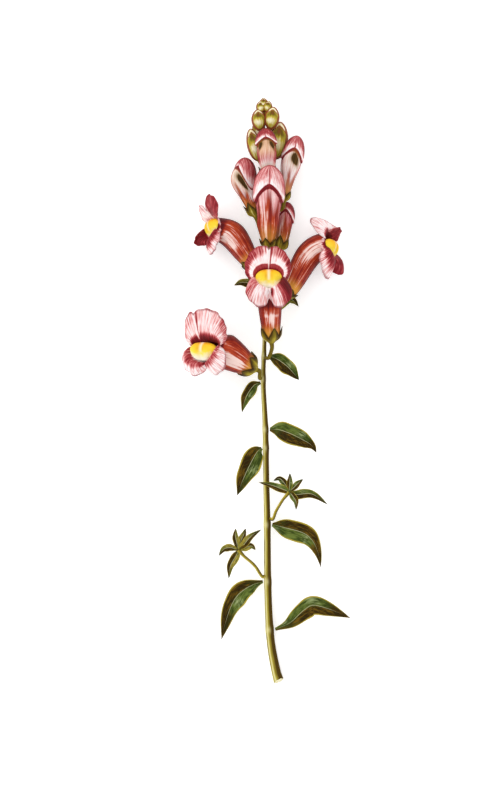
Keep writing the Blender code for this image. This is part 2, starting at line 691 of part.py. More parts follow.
def build_flowers(plant):
    """Builds each open flower: petals, palate and calyx."""
    for name, joint, side, foot, mouth, forward, upward, size, upper, sepal in FLOWERS:
        place = mm(foot)
        facing = Vector(forward)
        turn = facing_turn(facing, Vector(upward))
        local_mouth = turn.inverted() @ (mm(mouth) - place)
        surface = flower_surface(local_mouth, size, upper)
        petals = build_corolla(name, surface, place, turn, facing, plant)
        build_palate(name, petals, local_mouth, size, place, turn, plant)
        foot_way = (mm(mouth) - place).normalized()
        stalk = stalk_from_stem(joint, side, place, foot_way, turn)
        build_calyx(name, surface, local_mouth.length, stalk, sepal, SEPAL_NOTCH,
                    place, turn, plant)


def bud_surface(places, width, hood_turn):
    """Returns a closed bud's skin, by turn and distance along it.

    The distance runs from 0 at the foot to 1 at the hood's edge, and from there to 2 at the tip.
    The hood is two folded lobes that overhang the tube, and its edge is an upturned V in front.
    """
    def surface(turn, along):
        off = abs((math.degrees(turn) - hood_turn + 180.0) % 360.0 - 180.0) / 90.0
        edge = HOOD_SIDE + (HOOD_FRONT - HOOD_SIDE) * (1.0 - ease(off))
        hooded = along > 1.0
        share = edge * max(along, 0.0) if not hooded else edge + (1.0 - edge) * (along - 1.0)
        share = min(share, 1.0)
        way = curve_way(places, share)
        right = Vector((1.0, 0.0, 0.0))
        right = (right - way * right.dot(way)).normalized()
        above = way.cross(right)
        foot = math.sqrt(max(1.0 - max(0.0, 1.0 - share / BUD_ROUND_END) ** 2, 0.0))
        half = BUD_FOOT + (BUD_TUBE - BUD_FOOT) * ease(share / BUD_SWELL)
        half += (1.0 - BUD_TUBE) * ease((share - BUD_HEAD) / BUD_SWELL)
        crown = max(0.0, (share - BUD_CROWN) / (1.0 - BUD_CROWN))
        top = math.sqrt(max(1.0 - crown * crown, 0.0))
        if hooded:
            half *= 1.0 - HOOD_CREASE * math.exp(-(off / HOOD_CREASE_WIDTH) ** 2)
        else:
            half *= 1.0 - HOOD_STEP * ease(along / 0.9)
        half *= width * 0.5 * foot * top * MM
        return (on_curve(places, share) + right * math.cos(turn) * half
                + above * math.sin(turn) * half * BUD_DEPTH)
    return surface


def build_buds(plant):
    """Builds each closed coloured bud and the calyx that holds it."""
    for name, joint, side, foot, middle, tip, width, hood_turn in BUDS:
        place = mm(foot)
        ways = tuple(tuple(mm(point) - place) for point in (foot, middle, tip))
        axis = (mm(tip) - place).normalized()
        turn = facing_turn(axis, UP)
        back = turn.inverted()
        places = tuple(tuple(back @ Vector(point)) for point in ways)
        surface = bud_surface(places, width, hood_turn)

        def point(angle, step):
            return surface(angle, BUD_STEPS[step])

        work = pressed_ball(BUD_SIDES, len(BUD_STEPS) - 1, point)
        add_object(name + "_petals", work, "petal_pink", plant, place, turn)
        foot_way = (mm(middle) - place).normalized()
        stalk = stalk_from_stem(joint, side, place, foot_way, turn)
        length = (mm(tip) - place).length * HOOD_SIDE
        build_calyx(name, surface, length, stalk, BUD_SEPAL_TIP, BUD_SEPAL_NOTCH,
                    place, turn, plant)


def green_bud(joint, foot, tip, width):
    """Returns one round green bud on its short stalk, rooted in the stem's middle."""
    root = tuple(stem_row(joint)[0] / MM)
    path = (root, foot, tip)
    steps = len(GREEN_SHARES) + 1

    def place(turn, step):
        share = GREEN_SHARES[min(max(step - 1, 0), len(GREEN_SHARES) - 1)]
        if step == steps:
            return on_curve(path, 1.0) * MM
        middle = on_curve(path, share) * MM
        if step == 0:
            return middle
        bulb = (share - 0.5) / 0.5
        half = GREEN_STALK * 0.5
        if bulb > 0.0:
            half = max(half, width * 0.5 * math.sin(math.pi * bulb ** GREEN_WIDEST) ** GREEN_FULL)
        return ring_point(middle, curve_way(path, share), half * MM, turn)

    return pressed_ball(GREEN_SIDES, steps, place)


def build_green_tip(plant):
    """Builds the green tip: the end of the stem with its unopened green buds, fused in one."""
    start = STEM_TOP + GAP
    step = (STEM_END - start) / (TIP_ROWS - 1)
    rows = [stem_row(start + step * number) for number in range(TIP_ROWS)]
    path = tuple(tuple(row[0] / MM) for row in rows)
    works = [stalk_tube(path, rows[0][1] / MM, TIP_END, TIP_SIDES, TIP_STEPS)]
    for joint, foot, tip, width in GREEN_BUDS:
        works.append(green_bud(max(joint, start + 1.2), foot, tip, width))
    fuse("green_tip", works, "sepal_green", plant)


def main():
    """Builds the whole plant under one empty at the middle of its outline."""
    clear_scene()
    plant = bpy.data.objects.new("snapdragon", None)
    bpy.context.scene.collection.objects.link(plant)
    plant.location = mm((-OUTLINE_MIDDLE[0], -OUTLINE_MIDDLE[1], 0.0))
    build_stem(plant)
    build_leaves(plant)
    build_shoots(plant)
    build_flowers(plant)
    build_buds(plant)
    build_green_tip(plant)


main()
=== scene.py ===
"""A cut snapdragon stem lying on its back: the finished look of its petals, buds, leaves and stem.

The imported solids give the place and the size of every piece. Each class below makes the finer shape
of one kind of piece from the same plan, in millimetres, and turns it to metres at the end. A form
starts as a ball whose rings are laid along the piece, and fields kept on its points tell the finish
where it is stained, pale, creased or dark.
"""

import logging
import math
from dataclasses import dataclass, field
from enum import Enum
from functools import cache, reduce
from typing import Callable

import bmesh
import bpy
import numpy as np
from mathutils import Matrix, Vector
from mathutils.bvhtree import BVHTree


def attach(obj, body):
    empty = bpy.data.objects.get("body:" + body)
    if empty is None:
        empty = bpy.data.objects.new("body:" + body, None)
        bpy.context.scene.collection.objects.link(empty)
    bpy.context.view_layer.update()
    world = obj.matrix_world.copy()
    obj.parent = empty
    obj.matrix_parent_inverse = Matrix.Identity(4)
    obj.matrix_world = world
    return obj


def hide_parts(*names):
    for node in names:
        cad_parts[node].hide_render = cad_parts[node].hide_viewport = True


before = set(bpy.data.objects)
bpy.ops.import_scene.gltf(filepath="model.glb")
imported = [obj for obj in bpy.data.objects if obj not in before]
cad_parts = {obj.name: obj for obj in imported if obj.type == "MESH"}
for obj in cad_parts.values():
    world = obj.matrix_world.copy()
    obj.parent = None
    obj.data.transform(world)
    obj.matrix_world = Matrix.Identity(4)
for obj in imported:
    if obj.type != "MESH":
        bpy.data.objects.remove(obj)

Array = np.ndarray
Place = tuple[float, float, float]
Colour = tuple[float, float, float, float]

MM = 0.001
ROOT = "root"
OUTLINE_MIDDLE = np.array((-0.42, 3.94, 0.0))
UP = np.array((0.0, 0.0, 1.0))
RIGHT = np.array((1.0, 0.0, 0.0))
AHEAD = np.array((0.0, 0.0, 1.0))
GAP = 0.35
LEAF_GAP = 0.55
NOTHING = 1e-6
LOG = logging.getLogger("snapdragon")


class Slot(Enum):
    """The record's material slots."""

    STEM = "stem_green"
    LEAF = "leaf_green"
    SEPAL = "sepal_green"
    PETAL = "petal_pink"
    PALATE = "palate_yellow"


def unit(rows: Array) -> Array:
    """Returns each row at length one."""
    return rows / np.maximum(np.linalg.norm(rows, axis=-1, keepdims=True), 1e-9)


def ease(value: Array | float) -> Array:
    """Returns a share that starts and ends gently."""
    share = np.clip(value, 0.0, 1.0)
    return share * share * (3.0 - 2.0 * share)


def peak(value: Array | float, middle: float, width: float) -> Array:
    """Returns a soft peak of height one round a middle."""
    return np.exp(-(((value - middle) / width) ** 2))


def spread(values: Array | float, count: int) -> Array:
    """Returns values as a row of a given count."""
    return np.broadcast_to(np.asarray(values, float), (count,))


def grow(value: Array | float, start: Array | float, width: float) -> Array:
    """Returns a share that eases from 0 at a start to 1 a width further on."""
    return ease((value - start) / width)


def fade(value: Array | float, start: Array | float, width: float) -> Array:
    """Returns a share that eases from 1 at a start to 0 a width further on."""
    return 1.0 - grow(value, start, width)


def most(*values: Array | float) -> Array:
    """Returns the largest of several values, point by point."""
    return reduce(np.maximum, values)


def rounded(share: Array, reach: float) -> Array:
    """Returns a width that opens from nothing like a ball, to 1 at a reach."""
    return np.sqrt(np.maximum(1.0 - np.maximum(0.0, 1.0 - share / reach) ** 2, 0.0))


def across_and_above(way: Array) -> tuple[Array, Array]:
    """Returns the two directions square to a way: level, and towards the upper side."""
    across = unit(np.cross(UP, way))
    return across, unit(np.cross(way, across))


def right_and_above(way: Array) -> tuple[Array, Array]:
    """Returns the directions to a flower's right and upper side, in its own frame."""
    right = unit(RIGHT - way * way[..., :1])
    return right, np.cross(way, right)


def hoop(middle: Array, axes: tuple[Array, Array], turn: Array, half: Array | float,
         high: Array | float | None = None) -> Array:
    """Returns the points of a ring.

    Args:
        middle: its middle, or one for each turn.
        axes: the directions that its width and its height lie in.
        turn: the turns of its points.
        half: its half width.
        high: its half height, where that is not the same.

    Returns:
        The points, one to a row.
    """
    wide = np.cos(turn) * half
    tall = np.sin(turn) * (half if high is None else high)
    return middle + wide[:, None] * axes[0] + tall[:, None] * axes[1]


def between(near: Array, far: Array, near_slope: Array, far_slope: Array, step: Array) -> Array:
    """Returns points of a smooth curve between two points.

    Args:
        near: the first point.
        far: the second point.
        near_slope: the curve's slope at the first point.
        far_slope: its slope at the second point.
        step: shares of the way.

    Returns:
        The points.
    """
    square = step * step
    cube = square * step
    return (near * (2.0 * cube - 3.0 * square + 1.0) + far * (3.0 * square - 2.0 * cube)
            + near_slope * (cube - 2.0 * square + step) + far_slope * (cube - square))


@dataclass(frozen=True)
class Curve:
    """A smooth curve through places, in millimetres."""

    places: tuple[Place, ...]

    @classmethod
    def through(cls, places: tuple[Array, ...]) -> "Curve":
        """Returns the curve through points."""
        return cls(tuple(tuple(place) for place in places))

    def at(self, share: Array | float) -> Array:
        """Returns the points at shares of the way along the curve.

        Args:
            share: shares from 0 to 1.

        Returns:
            The points, one to a row.
        """
        points = np.array(self.places, float)
        ends = np.vstack((points[0] * 2.0 - points[1], points, points[-1] * 2.0 - points[-2]))
        position = np.clip(np.asarray(share, float), 0.0, 1.0) * (len(points) - 1)
        index = np.minimum(position.astype(int), len(points) - 2)
        before, near, far, after = (ends[index + offset] for offset in range(4))
        return between(near, far, (far - before) * 0.5, (after - near) * 0.5,
                       (position - index)[..., None])

    def way(self, share: Array | float) -> Array:
        """Returns the directions of the curve at shares of the way along it."""
        share = np.asarray(share, float)
        return unit(self.at(share + 0.01) - self.at(share - 0.01))


@dataclass(frozen=True)
class StemLine:
    """The line of the main stem, which everything else grows from.

    Attributes:
        rows: distance along Y, then X, height and width.
        joints: where leaves, shoots and flowers leave it.
        swell: how much wider each joint is.
        reach: how far the swelling goes.
    """

    rows: tuple[tuple[float, float, float, float], ...] = (
        (-148.0, 5.7, 2.47, 4.94),
        (-132.6, 2.5, 3.2, 4.4),
        (-120.0, 1.0, 3.9, 4.0),
        (-95.7, 0.0, 5.3, 3.65),
        (-65.0, -0.3, 7.0, 3.4),
        (-42.6, -0.8, 8.3, 3.1),
        (-15.0, -1.25, 9.8, 2.85),
        (10.0, -2.4, 11.2, 2.4),
        (31.0, -1.8, 12.3, 2.1),
        (60.0, -1.5, 13.6, 2.0),
        (90.0, -1.5, 14.6, 1.9),
        (120.0, -1.8, 14.8, 1.7),
        (152.0, -2.4, 15.4, 1.2),
    )
    joints: tuple[float, ...] = (-120.0, -94.8, -65.0, -25.0, -15.3, 11.0, 23.0)
    swell: float = 0.22
    reach: float = 2.6

    def at(self, distance: Array | float) -> tuple[Array, Array]:
        """Returns the stem's middle and half width at distances along it.

        Args:
            distance: distances along Y.

        Returns:
            The middles, one to a row, and the half widths.
        """
        rows = np.array([(row[1], row[0], row[2], row[3]) for row in self.rows])
        distance = np.asarray(distance, float)
        last = len(rows) - 1
        index = np.searchsorted(rows[1:-1, 1], distance)
        near, far = rows[index], rows[index + 1]
        before, after = rows[np.maximum(index - 1, 0)], rows[np.minimum(index + 2, last)]
        length = (far[..., 1] - near[..., 1])[..., None]
        step = (distance[..., None] - near[..., 1:2]) / length
        near_slope = (far - before) / (far[..., 1] - before[..., 1])[..., None] * length
        far_slope = (after - near) / (after[..., 1] - near[..., 1])[..., None] * length
        found = between(near, far, near_slope, far_slope, step)
        swollen = sum(peak(distance, joint, self.reach) for joint in self.joints)
        middle = np.stack((found[..., 0], distance, found[..., 2]), axis=-1)
        return middle, found[..., 3] * 0.5 + self.swell * swollen

    def beside(self, joint: float, side: Place, gap: float = GAP) -> Array:
        """Returns the point just off the stem's skin, on one side of a joint."""
        middle, half = self.at(joint)
        return middle + unit(np.array(side)) * (half + gap)

LINE = StemLine()


@dataclass
class Form:
    """A mesh in the making.

    Attributes:
        work: the mesh.
        turn: each point's turn round the form, in radians.
        row: each point's row along it, from 0 at the first pole.
        points: each point's place, in millimetres.
        fields: values on the points that the finish reads, by name.
    """

    work: bmesh.types.BMesh
    turn: Array
    row: Array
    points: Array
    fields: dict[str, Array] = field(default_factory=dict)

    @classmethod
    def ball(cls, sides: int, rows: int) -> "Form":
        """Returns a ball with a number of sides and of rings between its two poles.

        Args:
            sides: the number of sides.
            rows: the number of rings.

        Returns:
            The ball.
        """
        work = bmesh.new()
        bmesh.ops.create_uvsphere(work, u_segments=sides, v_segments=rows + 1, radius=1.0)
        start = np.array([vert.co[:] for vert in work.verts])
        down = np.arccos(np.clip(start[:, 2], -1.0, 1.0)) / math.pi * (rows + 1)
        turn = np.arctan2(start[:, 1], start[:, 0])
        return cls(work, turn, rows + 1 - np.round(down).astype(int), start)

    def lay(self, place: Callable[[int, Array], Array]) -> "Form":
        """Lays each ring of the ball.

        Args:
            place: gives the points of a row at an array of turns, or the one point of a pole.

        Returns:
            This form.
        """
        for row in range(self.row.max() + 1):
            chosen = self.row == row
            self.points[chosen] = place(row, self.turn[chosen])
        for vert, point in zip(self.work.verts, (self.points - OUTLINE_MIDDLE) * MM):
            vert.co = point
        return self

    @classmethod
    def rod(cls, curve: Curve, shares: Array, sides: int,
            half: Callable[[float, Array], Array | float]) -> "Form":
        """Returns a rod round a curve, closed at both ends.

        Args:
            curve: its middle.
            shares: shares of the way at which its two ends and its rings lie.
            sides: number of sides.
            half: gives its half width at a share of the way and at turns.

        Returns:
            The rod.
        """
        def place(row: int, turn: Array) -> Array:
            """Returns the points of one ring.

            Args:
                row: the ring's row.
                turn: the turns of its points.

            Returns:
                The points, one to a row.
            """
            share = shares[row]
            width = half(share, turn) if 0 < row < len(shares) - 1 else 0.0
            return hoop(curve.at(share), across_and_above(curve.way(share)), turn, width)

        return cls.ball(sides, len(shares) - 2).lay(place)

    def along(self, places: Array) -> Array:
        """Returns each point's place along the form, from the places of its rows."""
        return np.asarray(places, float)[self.row]

    def normals(self) -> Array:
        """Returns the direction that the surface faces at each point."""
        self.work.normal_update()
        return np.array([vert.normal[:] for vert in self.work.verts])

    def facing(self, way: Place) -> Array:
        """Returns how far each point faces a way, 1 being straight."""
        return self.normals() @ unit(np.array(way))

    def shaded(self) -> Array:
        """Returns how far each point is turned away from above, from 0 to 1; the finishes paint shade
        by it.
        """
        return 1.0 - np.clip(self.normals()[:, 2], 0.0, 1.0)

    def write(self, name: str, slot: Slot) -> bpy.types.Object:
        """Makes an object of the form, with its fields and its map.

        Args:
            name: the object's name.
            slot: the slot whose finish it has.

        Returns:
            The object.
        """
        mesh = bpy.data.meshes.new(name)
        self.work.normal_update()
        self.work.to_mesh(mesh)
        self.work.free()
        for label, values in self.fields.items():
            kept = mesh.attributes.new(label, "FLOAT", "POINT")
            kept.data.foreach_set("value", spread(values, len(self.row)).astype(np.float32))
        self._map(mesh)
        mesh.materials.append(finish(slot))
        mesh.shade_smooth()
        made = bpy.data.objects.new(name, mesh)
        bpy.context.scene.collection.objects.link(made)
        return made

    def piece(self, name: str, slot: Slot, node: str) -> bpy.types.Object:
        """Makes a finished piece of the form, which stands for a solid."""
        return settle(self.write(name, slot), slot, node)

    def _map(self, mesh: bpy.types.Mesh) -> None:
        """Writes the map: round the form across, and along it upwards.

        Args:
            mesh: the mesh.
        """
        corners = np.empty(len(mesh.loops), int)
        mesh.loops.foreach_get("vertex_index", corners)
        starts = np.empty(len(mesh.polygons), int)
        mesh.polygons.foreach_get("loop_start", starts)
        totals = np.empty(len(mesh.polygons), int)
        mesh.polygons.foreach_get("loop_total", totals)
        around = self.fields.pop("around", self.turn / math.tau + 0.5)[corners]
        width = np.maximum.reduceat(around, starts) - np.minimum.reduceat(around, starts)
        around = around + (np.repeat(width > 0.5, totals) & (around < 0.5))
        along = self.fields.get("along", self.row / self.row.max())[corners]
        layer = mesh.uv_layers.new(name="way")
        layer.data.foreach_set("uv", np.stack((around, along), axis=-1).astype(np.float32).ravel())


def settle(made: bpy.types.Object, slot: Slot, *nodes: str) -> bpy.types.Object:
    """Hangs a finished piece on what it rides on, and hides the solids that it stands for.

    Args:
        made: the piece.
        slot: the record's slot of its finish; not used.
        nodes: the solids that it stands for.

    Returns:
        The piece.
    """
    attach(made, ROOT)
    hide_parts(*nodes)
    return made


def join(parts: list[bpy.types.Object], name: str, slot: Slot, node: str) -> bpy.types.Object:
    """Joins parts into one finished piece.

    Args:
        parts: the parts.
        name: the piece's name.
        slot: the record's slot of its finish; not used.
        node: the solid that it stands for.

    Returns:
        The piece.
    """
    made = parts[0]
    with bpy.context.temp_override(active_object=made, object=made,
                                   selected_editable_objects=parts, selected_objects=parts):
        bpy.ops.object.join()
    made.name = name
    return settle(made, slot, node)


@dataclass(frozen=True)
class Value:
    """A socket's value in a finish, which takes part in sums."""

    graph: "Graph"
    socket: bpy.types.NodeSocket

    def _sum(self, operation: str, first: "Value | float", second: "Value | float") -> "Value":
        """Adds the Math node of one sum."""
        return self.graph.node("ShaderNodeMath", {"operation": operation}, {0: first, 1: second})

    def __add__(self, other: "Value | float") -> "Value":
        """Returns the sum."""
        return self._sum("ADD", self, other)

    __radd__ = __add__

    def __sub__(self, other: "Value | float") -> "Value":
        """Returns the difference."""
        return self._sum("SUBTRACT", self, other)

    def __rsub__(self, other: "Value | float") -> "Value":
        """Returns the difference from a number."""
        return self._sum("SUBTRACT", other, self)

    def __mul__(self, other: "Value | float") -> "Value":
        """Returns the product."""
        return self._sum("MULTIPLY", self, other)

    __rmul__ = __mul__

    def size(self) -> "Value":
        """Returns the value without its sign."""
        return self._sum("ABSOLUTE", self, 0.0)

    def rise(self, low: float, high: float) -> "Value":
        """Returns a share that goes smoothly from 0 at the low value to 1 at the high one."""
        return self.graph.node("ShaderNodeMapRange", {"interpolation_type": "SMOOTHSTEP"},
                               {"Value": self, "From Min": low, "From Max": high})


class Graph:
    """The nodes of one finish."""

    def __init__(self, name: str) -> None:
        """Makes a material with one Principled shader."""
        self.material = bpy.data.materials.new(name)
        self.material.use_nodes = True
        self.tree = self.material.node_tree
        self.shader = self.tree.nodes["Principled BSDF"]

    def node(self, kind: str, settings: dict[str, object], values: dict[object, object],
             output: int = 0) -> Value:
        """Adds a node.

        Args:
            kind: the node's type.
            settings: its settings, set first; stops are a ramp's places and colours.
            values: values or links of its sockets, by name or number.
            output: the number of the output that is returned.

        Returns:
            The node's output.
        """
        made = self.tree.nodes.new(kind)
        for label, setting in settings.items():
            if label == "stops":
                self._stops(made.color_ramp, setting)
            else:
                setattr(made, label, setting)
        for label, value in values.items():
            self.feed(made.inputs[label], value)
        return Value(self, made.outputs[output])

    @staticmethod
    def _stops(ramp: bpy.types.ColorRamp, stops: tuple[tuple[float, Colour], ...]) -> None:
        """Sets a ramp's stops.

        Args:
            ramp: the ramp.
            stops: its places and colours.
        """
        while len(ramp.elements) < len(stops):
            ramp.elements.new(1.0)
        for element, (position, colour) in zip(ramp.elements, stops):
            element.position = position
            element.color = colour

    def feed(self, socket: bpy.types.NodeSocket, value: object) -> None:
        """Links a value to a socket, or sets the socket."""
        if isinstance(value, Value):
            self.tree.links.new(value.socket, socket)
        else:
            socket.default_value = value

    def read(self, label: str) -> Value:
        """Returns a field that the piece keeps on its points."""
        return self.node("ShaderNodeAttribute", {"attribute_name": label}, {}, 2)

    def way(self) -> tuple[Value, Value]:
        """Returns the piece's map: round it, and along it."""
        found = self.node("ShaderNodeUVMap", {"uv_map": "way"}, {})
        return (self.node("ShaderNodeSeparateXYZ", {}, {0: found}, 0),
                self.node("ShaderNodeSeparateXYZ", {}, {0: found}, 1))

    def _cloud(self, place: Value, scale: float, detail: float) -> Value:
        """Returns noise at a place, about 0.5 in the middle."""
        return self.node("ShaderNodeTexNoise", {},
                         {"Vector": place, "Scale": scale, "Detail": detail, "Roughness": 0.55})

    def noise(self, *values: Value | float) -> Value:
        """Returns noise over two or three values."""
        place = self.node("ShaderNodeCombineXYZ", {}, dict(enumerate(values)))
        return self._cloud(place, 1.0, 2.0)

    def grain(self, scale: float, detail: float = 2.0) -> Value:
        """Returns noise in the piece's own space, scale to the metre."""
        return self._cloud(self.node("ShaderNodeTexCoord", {}, {}, 3), scale, detail)

    def mix(self, low: object, high: object, share: Value | float) -> Value:
        """Returns a colour between two colours."""
        return self.node("ShaderNodeMix", {"data_type": "RGBA"}, {0: share, 6: low, 7: high}, 2)

    def ramp(self, share: Value, *stops: tuple[float, Colour]) -> Value:
        """Returns a colour from a row of stops."""
        return self.node("ShaderNodeValToRGB", {"stops": stops}, {0: share})

    def relief(self, height: Value, depth: float) -> None:
        """Raises the surface by a height, depth in metres from lowest to highest."""
        bump = self.node("ShaderNodeBump", {},
                         {"Height": height, "Distance": depth, "Strength": 1.0})
        self.feed(self.shader.inputs["Normal"], bump)

    def done(self, colour: Value, rough: Value | float,
             **sockets: float | Colour) -> bpy.types.Material:
        """Feeds the shader.

        Args:
            colour: the base colour.
            rough: the roughness.
            sockets: other settings of the shader, with spaces as underscores.

        Returns:
            The material.
        """
        self.feed(self.shader.inputs["Base Color"], colour)
        self.feed(self.shader.inputs["Roughness"], rough)
        for label, value in sockets.items():
            self.shader.inputs[label.replace("_", " ")].default_value = value
        return self.material


def strokes(*layers: tuple[Value, float]) -> Value:
    """Returns the sum of layers of noise, each set about 0 and times its strength."""
    return sum((noise - 0.5) * strength for noise, strength in layers)


@dataclass(frozen=True)
class PetalFinish:
    """Petals: crimson streaks that fade to a pale pink, and an orange red tube.

    The lips go from pale to dark, and the tube from glow, its painted highlight, to dark, its painted
    shade, with its own tone between. Amber is the tube's foot, cream the cheek of a bud, olive a
    young bud, and umber the painted shadow at the bottom of the hollows under its hood.
    """

    pale: Colour = (0.95, 0.86, 0.86, 1.0)
    blush: Colour = (0.82, 0.42, 0.41, 1.0)
    rose: Colour = (0.50, 0.080, 0.085, 1.0)
    crimson: Colour = (0.26, 0.010, 0.018, 1.0)
    dark: Colour = (0.10, 0.004, 0.006, 1.0)
    glow: Colour = (0.94, 0.70, 0.64, 1.0)
    amber: Colour = (0.92, 0.47, 0.06, 1.0)
    cream: Colour = (0.93, 0.78, 0.40, 1.0)
    brick: Colour = (0.53, 0.070, 0.020, 1.0)
    rust: Colour = (0.27, 0.016, 0.008, 1.0)
    olive: Colour = (0.28, 0.13, 0.008, 1.0)
    umber: Colour = (0.055, 0.026, 0.003, 1.0)

    def material(self) -> bpy.types.Material:
        """Returns the petals' material."""
        graph = Graph("petals")
        around, along = graph.way()
        broad = graph.noise(around * 34.0, along * 3.2, graph.read("seed"))
        fine = graph.noise(around * 190.0, along * 5.0, graph.read("seed"))
        hair = graph.noise(around * 380.0, along * 8.0, graph.read("seed"))
        middling = graph.noise(around * 84.0, along * 4.0, graph.read("seed"))
        blot = graph.grain(260.0)
        streak = strokes((broad, 0.5), (fine.rise(0.32, 0.68), 0.42), (middling, 0.5), (hair, 0.6))
        brush = strokes((middling.rise(0.32, 0.68), 0.3), (broad, 0.9), (hair, 0.3))
        stain = graph.read("stain") + streak * graph.read("streaky") + (blot - 0.5) * 0.16
        lip = graph.ramp(stain, (0.1, self.pale), (0.3, self.blush), (0.5, self.rose),
                         (0.7, self.crimson), (1.0, self.dark))
        # The tube's own tone, with painted shade on its sides, a painted shadow under the lips and a
        # painted highlight streak.
        tube_tone_and_painted_light = graph.read("tube_tone_and_painted_light") + brush + (blot - 0.5) * 0.35
        tube = graph.ramp(tube_tone_and_painted_light, (0.0, self.glow), (0.22, self.brick), (0.52, self.rust),
                          (0.88, self.dark))
        colour = graph.mix(lip, tube, graph.read("tube"))
        for label, tint in (("amber", self.amber), ("cream", self.cream), ("olive", self.olive),
                            ("rim", self.crimson), ("pit", self.olive)):
            colour = graph.mix(colour, tint, graph.read(label))
        # Painted shadow: umber at the bottom of the hollows under a bud's hood.
        colour = graph.mix(colour, self.umber, (graph.read("pit") + streak * 0.5).rise(0.6, 1.0))
        graph.relief(broad * 0.3 + fine * 0.5 + hair * 0.2, 0.00022)
        rough = 0.5 + (blot - 0.5) * 0.2
        return graph.done(colour, rough, Specular_IOR_Level=0.14)


@dataclass(frozen=True)
class PalateFinish:
    """The yellow cushion: velvety, deeper at its crest, white at its foot, with a painted highlight
    down its middle groove.
    """

    crest: Colour = (0.70, 0.24, 0.006, 1.0)
    yellow: Colour = (0.92, 0.50, 0.008, 1.0)
    lemon: Colour = (0.95, 0.72, 0.05, 1.0)
    white: Colour = (0.97, 0.92, 0.76, 1.0)

    def material(self) -> bpy.types.Material:
        """Returns the palate's material."""
        graph = Graph("palate")
        fuzz = graph.grain(5200.0, 3.0)
        blot = graph.grain(420.0)
        down = graph.read("down") + (blot - 0.5) * 0.35
        colour = graph.ramp(down, (0.0, self.crest), (0.16, self.yellow), (0.6, self.lemon),
                            (0.92, self.white))
        # Painted highlight: the middle groove whitened.
        colour = graph.mix(colour, self.white, graph.read("groove") * 0.65)
        colour = graph.mix(colour, self.crest, graph.read("ridge") * 0.35)
        graph.relief(fuzz, 0.00016)
        return graph.done(colour, 0.62, Specular_IOR_Level=0.2)


@dataclass(frozen=True)
class LeafFinish:
    """A leaf blade: green one side of its pale midrib, dark brown the other as painted shade, with a
    golden rim.

    Fresh is the lighter strokes of the green half and mist its painted highlight, umber the
    lighter strokes of the brown half, and gold is a young leaf.
    """

    green: Colour = (0.030, 0.046, 0.005, 1.0)
    fresh: Colour = (0.130, 0.175, 0.032, 1.0)
    mist: Colour = (0.36, 0.42, 0.20, 1.0)
    brown: Colour = (0.028, 0.014, 0.001, 1.0)
    umber: Colour = (0.150, 0.082, 0.006, 1.0)
    gold: Colour = (0.46, 0.33, 0.050, 1.0)
    vein: Colour = (0.66, 0.62, 0.36, 1.0)
    rim: Colour = (0.44, 0.34, 0.040, 1.0)

    def material(self) -> bpy.types.Material:
        """Returns the leaves' material."""
        graph = Graph("leaf")
        around, along = graph.way()
        side = (around - 0.5) * 2.0
        sweep = along - side.size() * 0.14
        stroke = graph.noise(around * 11.0, sweep * 7.0, graph.read("seed"))
        fine = graph.noise(around * 30.0, sweep * 16.0, graph.read("seed"))
        patch = graph.grain(150.0)
        brush = strokes((stroke, 1.0), (fine, 0.9))
        green = graph.mix(self.green, self.fresh, (patch + brush).rise(0.3, 0.75))
        # mist lays a painted highlight on the green half.
        green = graph.mix(green, self.mist, (graph.read("mist") + brush * 1.1).rise(0.45, 1.2))
        brown = graph.mix(self.brown, self.umber, (patch + brush * 1.4).rise(0.4, 0.9))
        # The dark field lays brown over one half of the blade as painted shade, and over a darker
        # end.
        colour = graph.mix(green, brown, (graph.read("dark") + brush * 1.2).rise(0.25, 0.75))
        young = (graph.read("young") + brush * 0.9).rise(0.3, 0.9)
        colour = graph.mix(colour, self.gold, young)
        cell = graph.node("ShaderNodeMath", {"operation": "SINE"}, {0: sweep * 92.0})
        veins = cell.rise(0.8, 1.0) * (1.0 - side.size()).rise(0.1, 0.5)
        colour = graph.mix(colour, self.fresh, veins * 0.16)
        edge = (side.size() + brush * 0.08).rise(0.82, 0.94)
        colour = graph.mix(colour, self.rim, edge)
        rib = (1.0 - side.size() * graph.read("slender")).rise(0.3, 0.9)
        colour = graph.mix(colour, self.vein, rib * (1.0 - along).rise(0.02, 0.35) * 0.9)
        graph.relief(stroke * 0.4 + fine * 0.3 - veins * 0.5 - rib * 0.6, 0.00018)
        rough = 0.55 + (patch - 0.5) * 0.2
        return graph.done(colour, rough, Specular_IOR_Level=0.06)


@dataclass(frozen=True)
class StemFinish:
    """The stem: pale olive on its left as painted light, dark brown on its right as painted shade,
    with fine grooves.
    """

    pale: Colour = (0.74, 0.68, 0.34, 1.0)
    olive: Colour = (0.46, 0.38, 0.060, 1.0)
    moss: Colour = (0.20, 0.145, 0.014, 1.0)
    brown: Colour = (0.070, 0.038, 0.003, 1.0)
    pith: Colour = (0.86, 0.80, 0.52, 1.0)

    def material(self) -> bpy.types.Material:
        """Returns the stem's material."""
        graph = Graph("stem")
        around, along = graph.way()
        groove = graph.noise(around * 26.0, along * 6.0)
        fine = graph.noise(around * 90.0, along * 60.0)
        patch = graph.grain(70.0)
        brush = strokes((groove, 0.5), (fine, 0.3), (patch, 0.3))
        # The shade field runs from a painted highlight on the left to painted shade on the right.
        shade = graph.read("shade") + brush * 0.5
        colour = graph.ramp(shade, (0.0, self.brown), (0.05, self.olive), (0.16, self.pale),
                            (0.3, self.olive), (0.48, self.moss), (0.6, self.brown),
                            (0.93, self.brown), (1.0, self.moss))
        colour = graph.mix(colour, self.pale, graph.read("scar") * 0.6)
        colour = graph.mix(colour, self.pith, graph.read("cut"))
        graph.relief(groove * 0.6 + fine * 0.4, 0.00022)
        return graph.done(colour, 0.55, Specular_IOR_Level=0.06)


